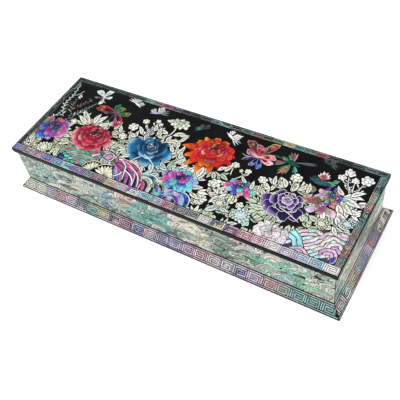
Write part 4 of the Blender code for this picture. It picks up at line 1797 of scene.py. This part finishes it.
# The front, right, back and left: the way each faces, and the way along it
SIDES = (
    ((0, -1, 0), (1, 0, 0)), ((1, 0, 0), (0, 1, 0)), ((0, 1, 0), (-1, 0, 0)), ((-1, 0, 0), (0, -1, 0)),
)


def faces_of(walls, lid, base):
    """A face for each side, from the solids' boxes, with its half length in millimetres."""
    x1, y1, z0 = walls[1][0], walls[1][1], walls[0][2]
    wall_sides, skirt_sides = [], []
    rim_x, rim_y = base[1][0], base[1][1]
    rise = (z0 - SEAT_GAP - BASE_LIP) / MM
    draw_in = (rim_x - x1) / MM
    slope = math.hypot(rise, draw_in)
    up = Vector((0, 0, 1))
    for n, (outward, across) in enumerate(SIDES):
        outward, across = Vector(outward), Vector(across)
        long = n % 2 == 0
        half = (x1 if long else y1) / MM
        rim_half = (rim_x if long else rim_y) / MM
        wall_out, rim_out = (y1, rim_y) if long else (x1, rim_x)
        map_at = (MAP_SIDE / 2, 2 + MAP_ROW * n)
        foot = (outward * wall_out + up * z0) / MM
        wall_sides.append((Face(foot, across, up, outward, map_at), half))
        foot = (outward * rim_out + up * BASE_LIP) / MM
        rising = (up * rise - outward * draw_in).normalized()
        tilted = across.cross(rising)
        skirt_sides.append((Face(foot, across, rising, tilted, map_at), rim_half))
    top = Vector((0, 0, lid[1][2] / MM))
    lid_face = Face(top, Vector((1, 0, 0)), Vector((0, 1, 0)), up, (MAP_SIDE / 2, MAP_SIDE / 2))
    return lid_face, wall_sides, skirt_sides, slope, draw_in


def build():
    """The frame, the inlay on it and the stage."""
    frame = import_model()
    finish = lacquer_material()
    for node in frame["nodes"].values():
        node.data.materials.clear()
        node.data.materials.append(finish)
    walls, lid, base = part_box("case_walls"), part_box("lid"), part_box("base_board")
    lid_face, wall_sides, skirt_sides, slope, draw_in = faces_of(walls, lid, base)
    height = (walls[1][2] - walls[0][2]) / MM
    drawn = {"lid": [(lid_picture(lid[1][0] / MM, lid[1][1] / MM), lid_face)], "walls": [], "skirt": []}
    for (face, half), shift in zip(wall_sides, WALL_SHIFTS):
        drawn["walls"].append((wall_picture(half, height, shift), face))
    for n, (face, half) in enumerate(skirt_sides):
        sections = SKIRT_RIGHT if n % 2 else SKIRT_FRONT
        drawn["skirt"].append((skirt_picture(half, slope, draw_in, sections), face))
    shells = {shell: shell_material(f"{shell}_finish", *looks) for shell, looks in SHELLS.items()}
    for where, sides in drawn.items():
        pictures = [(pic.cut(), pic.shapes, face) for pic, face in sides]
        used = {ink.shell for _, shapes, _ in pictures for _, ink in shapes if ink is not BARE}
        for shell in sorted(used):
            inlay(f"{where}_{shell}", shell, pictures, shells[shell])
    add_floor()
    add_camera()
    add_light()


build()
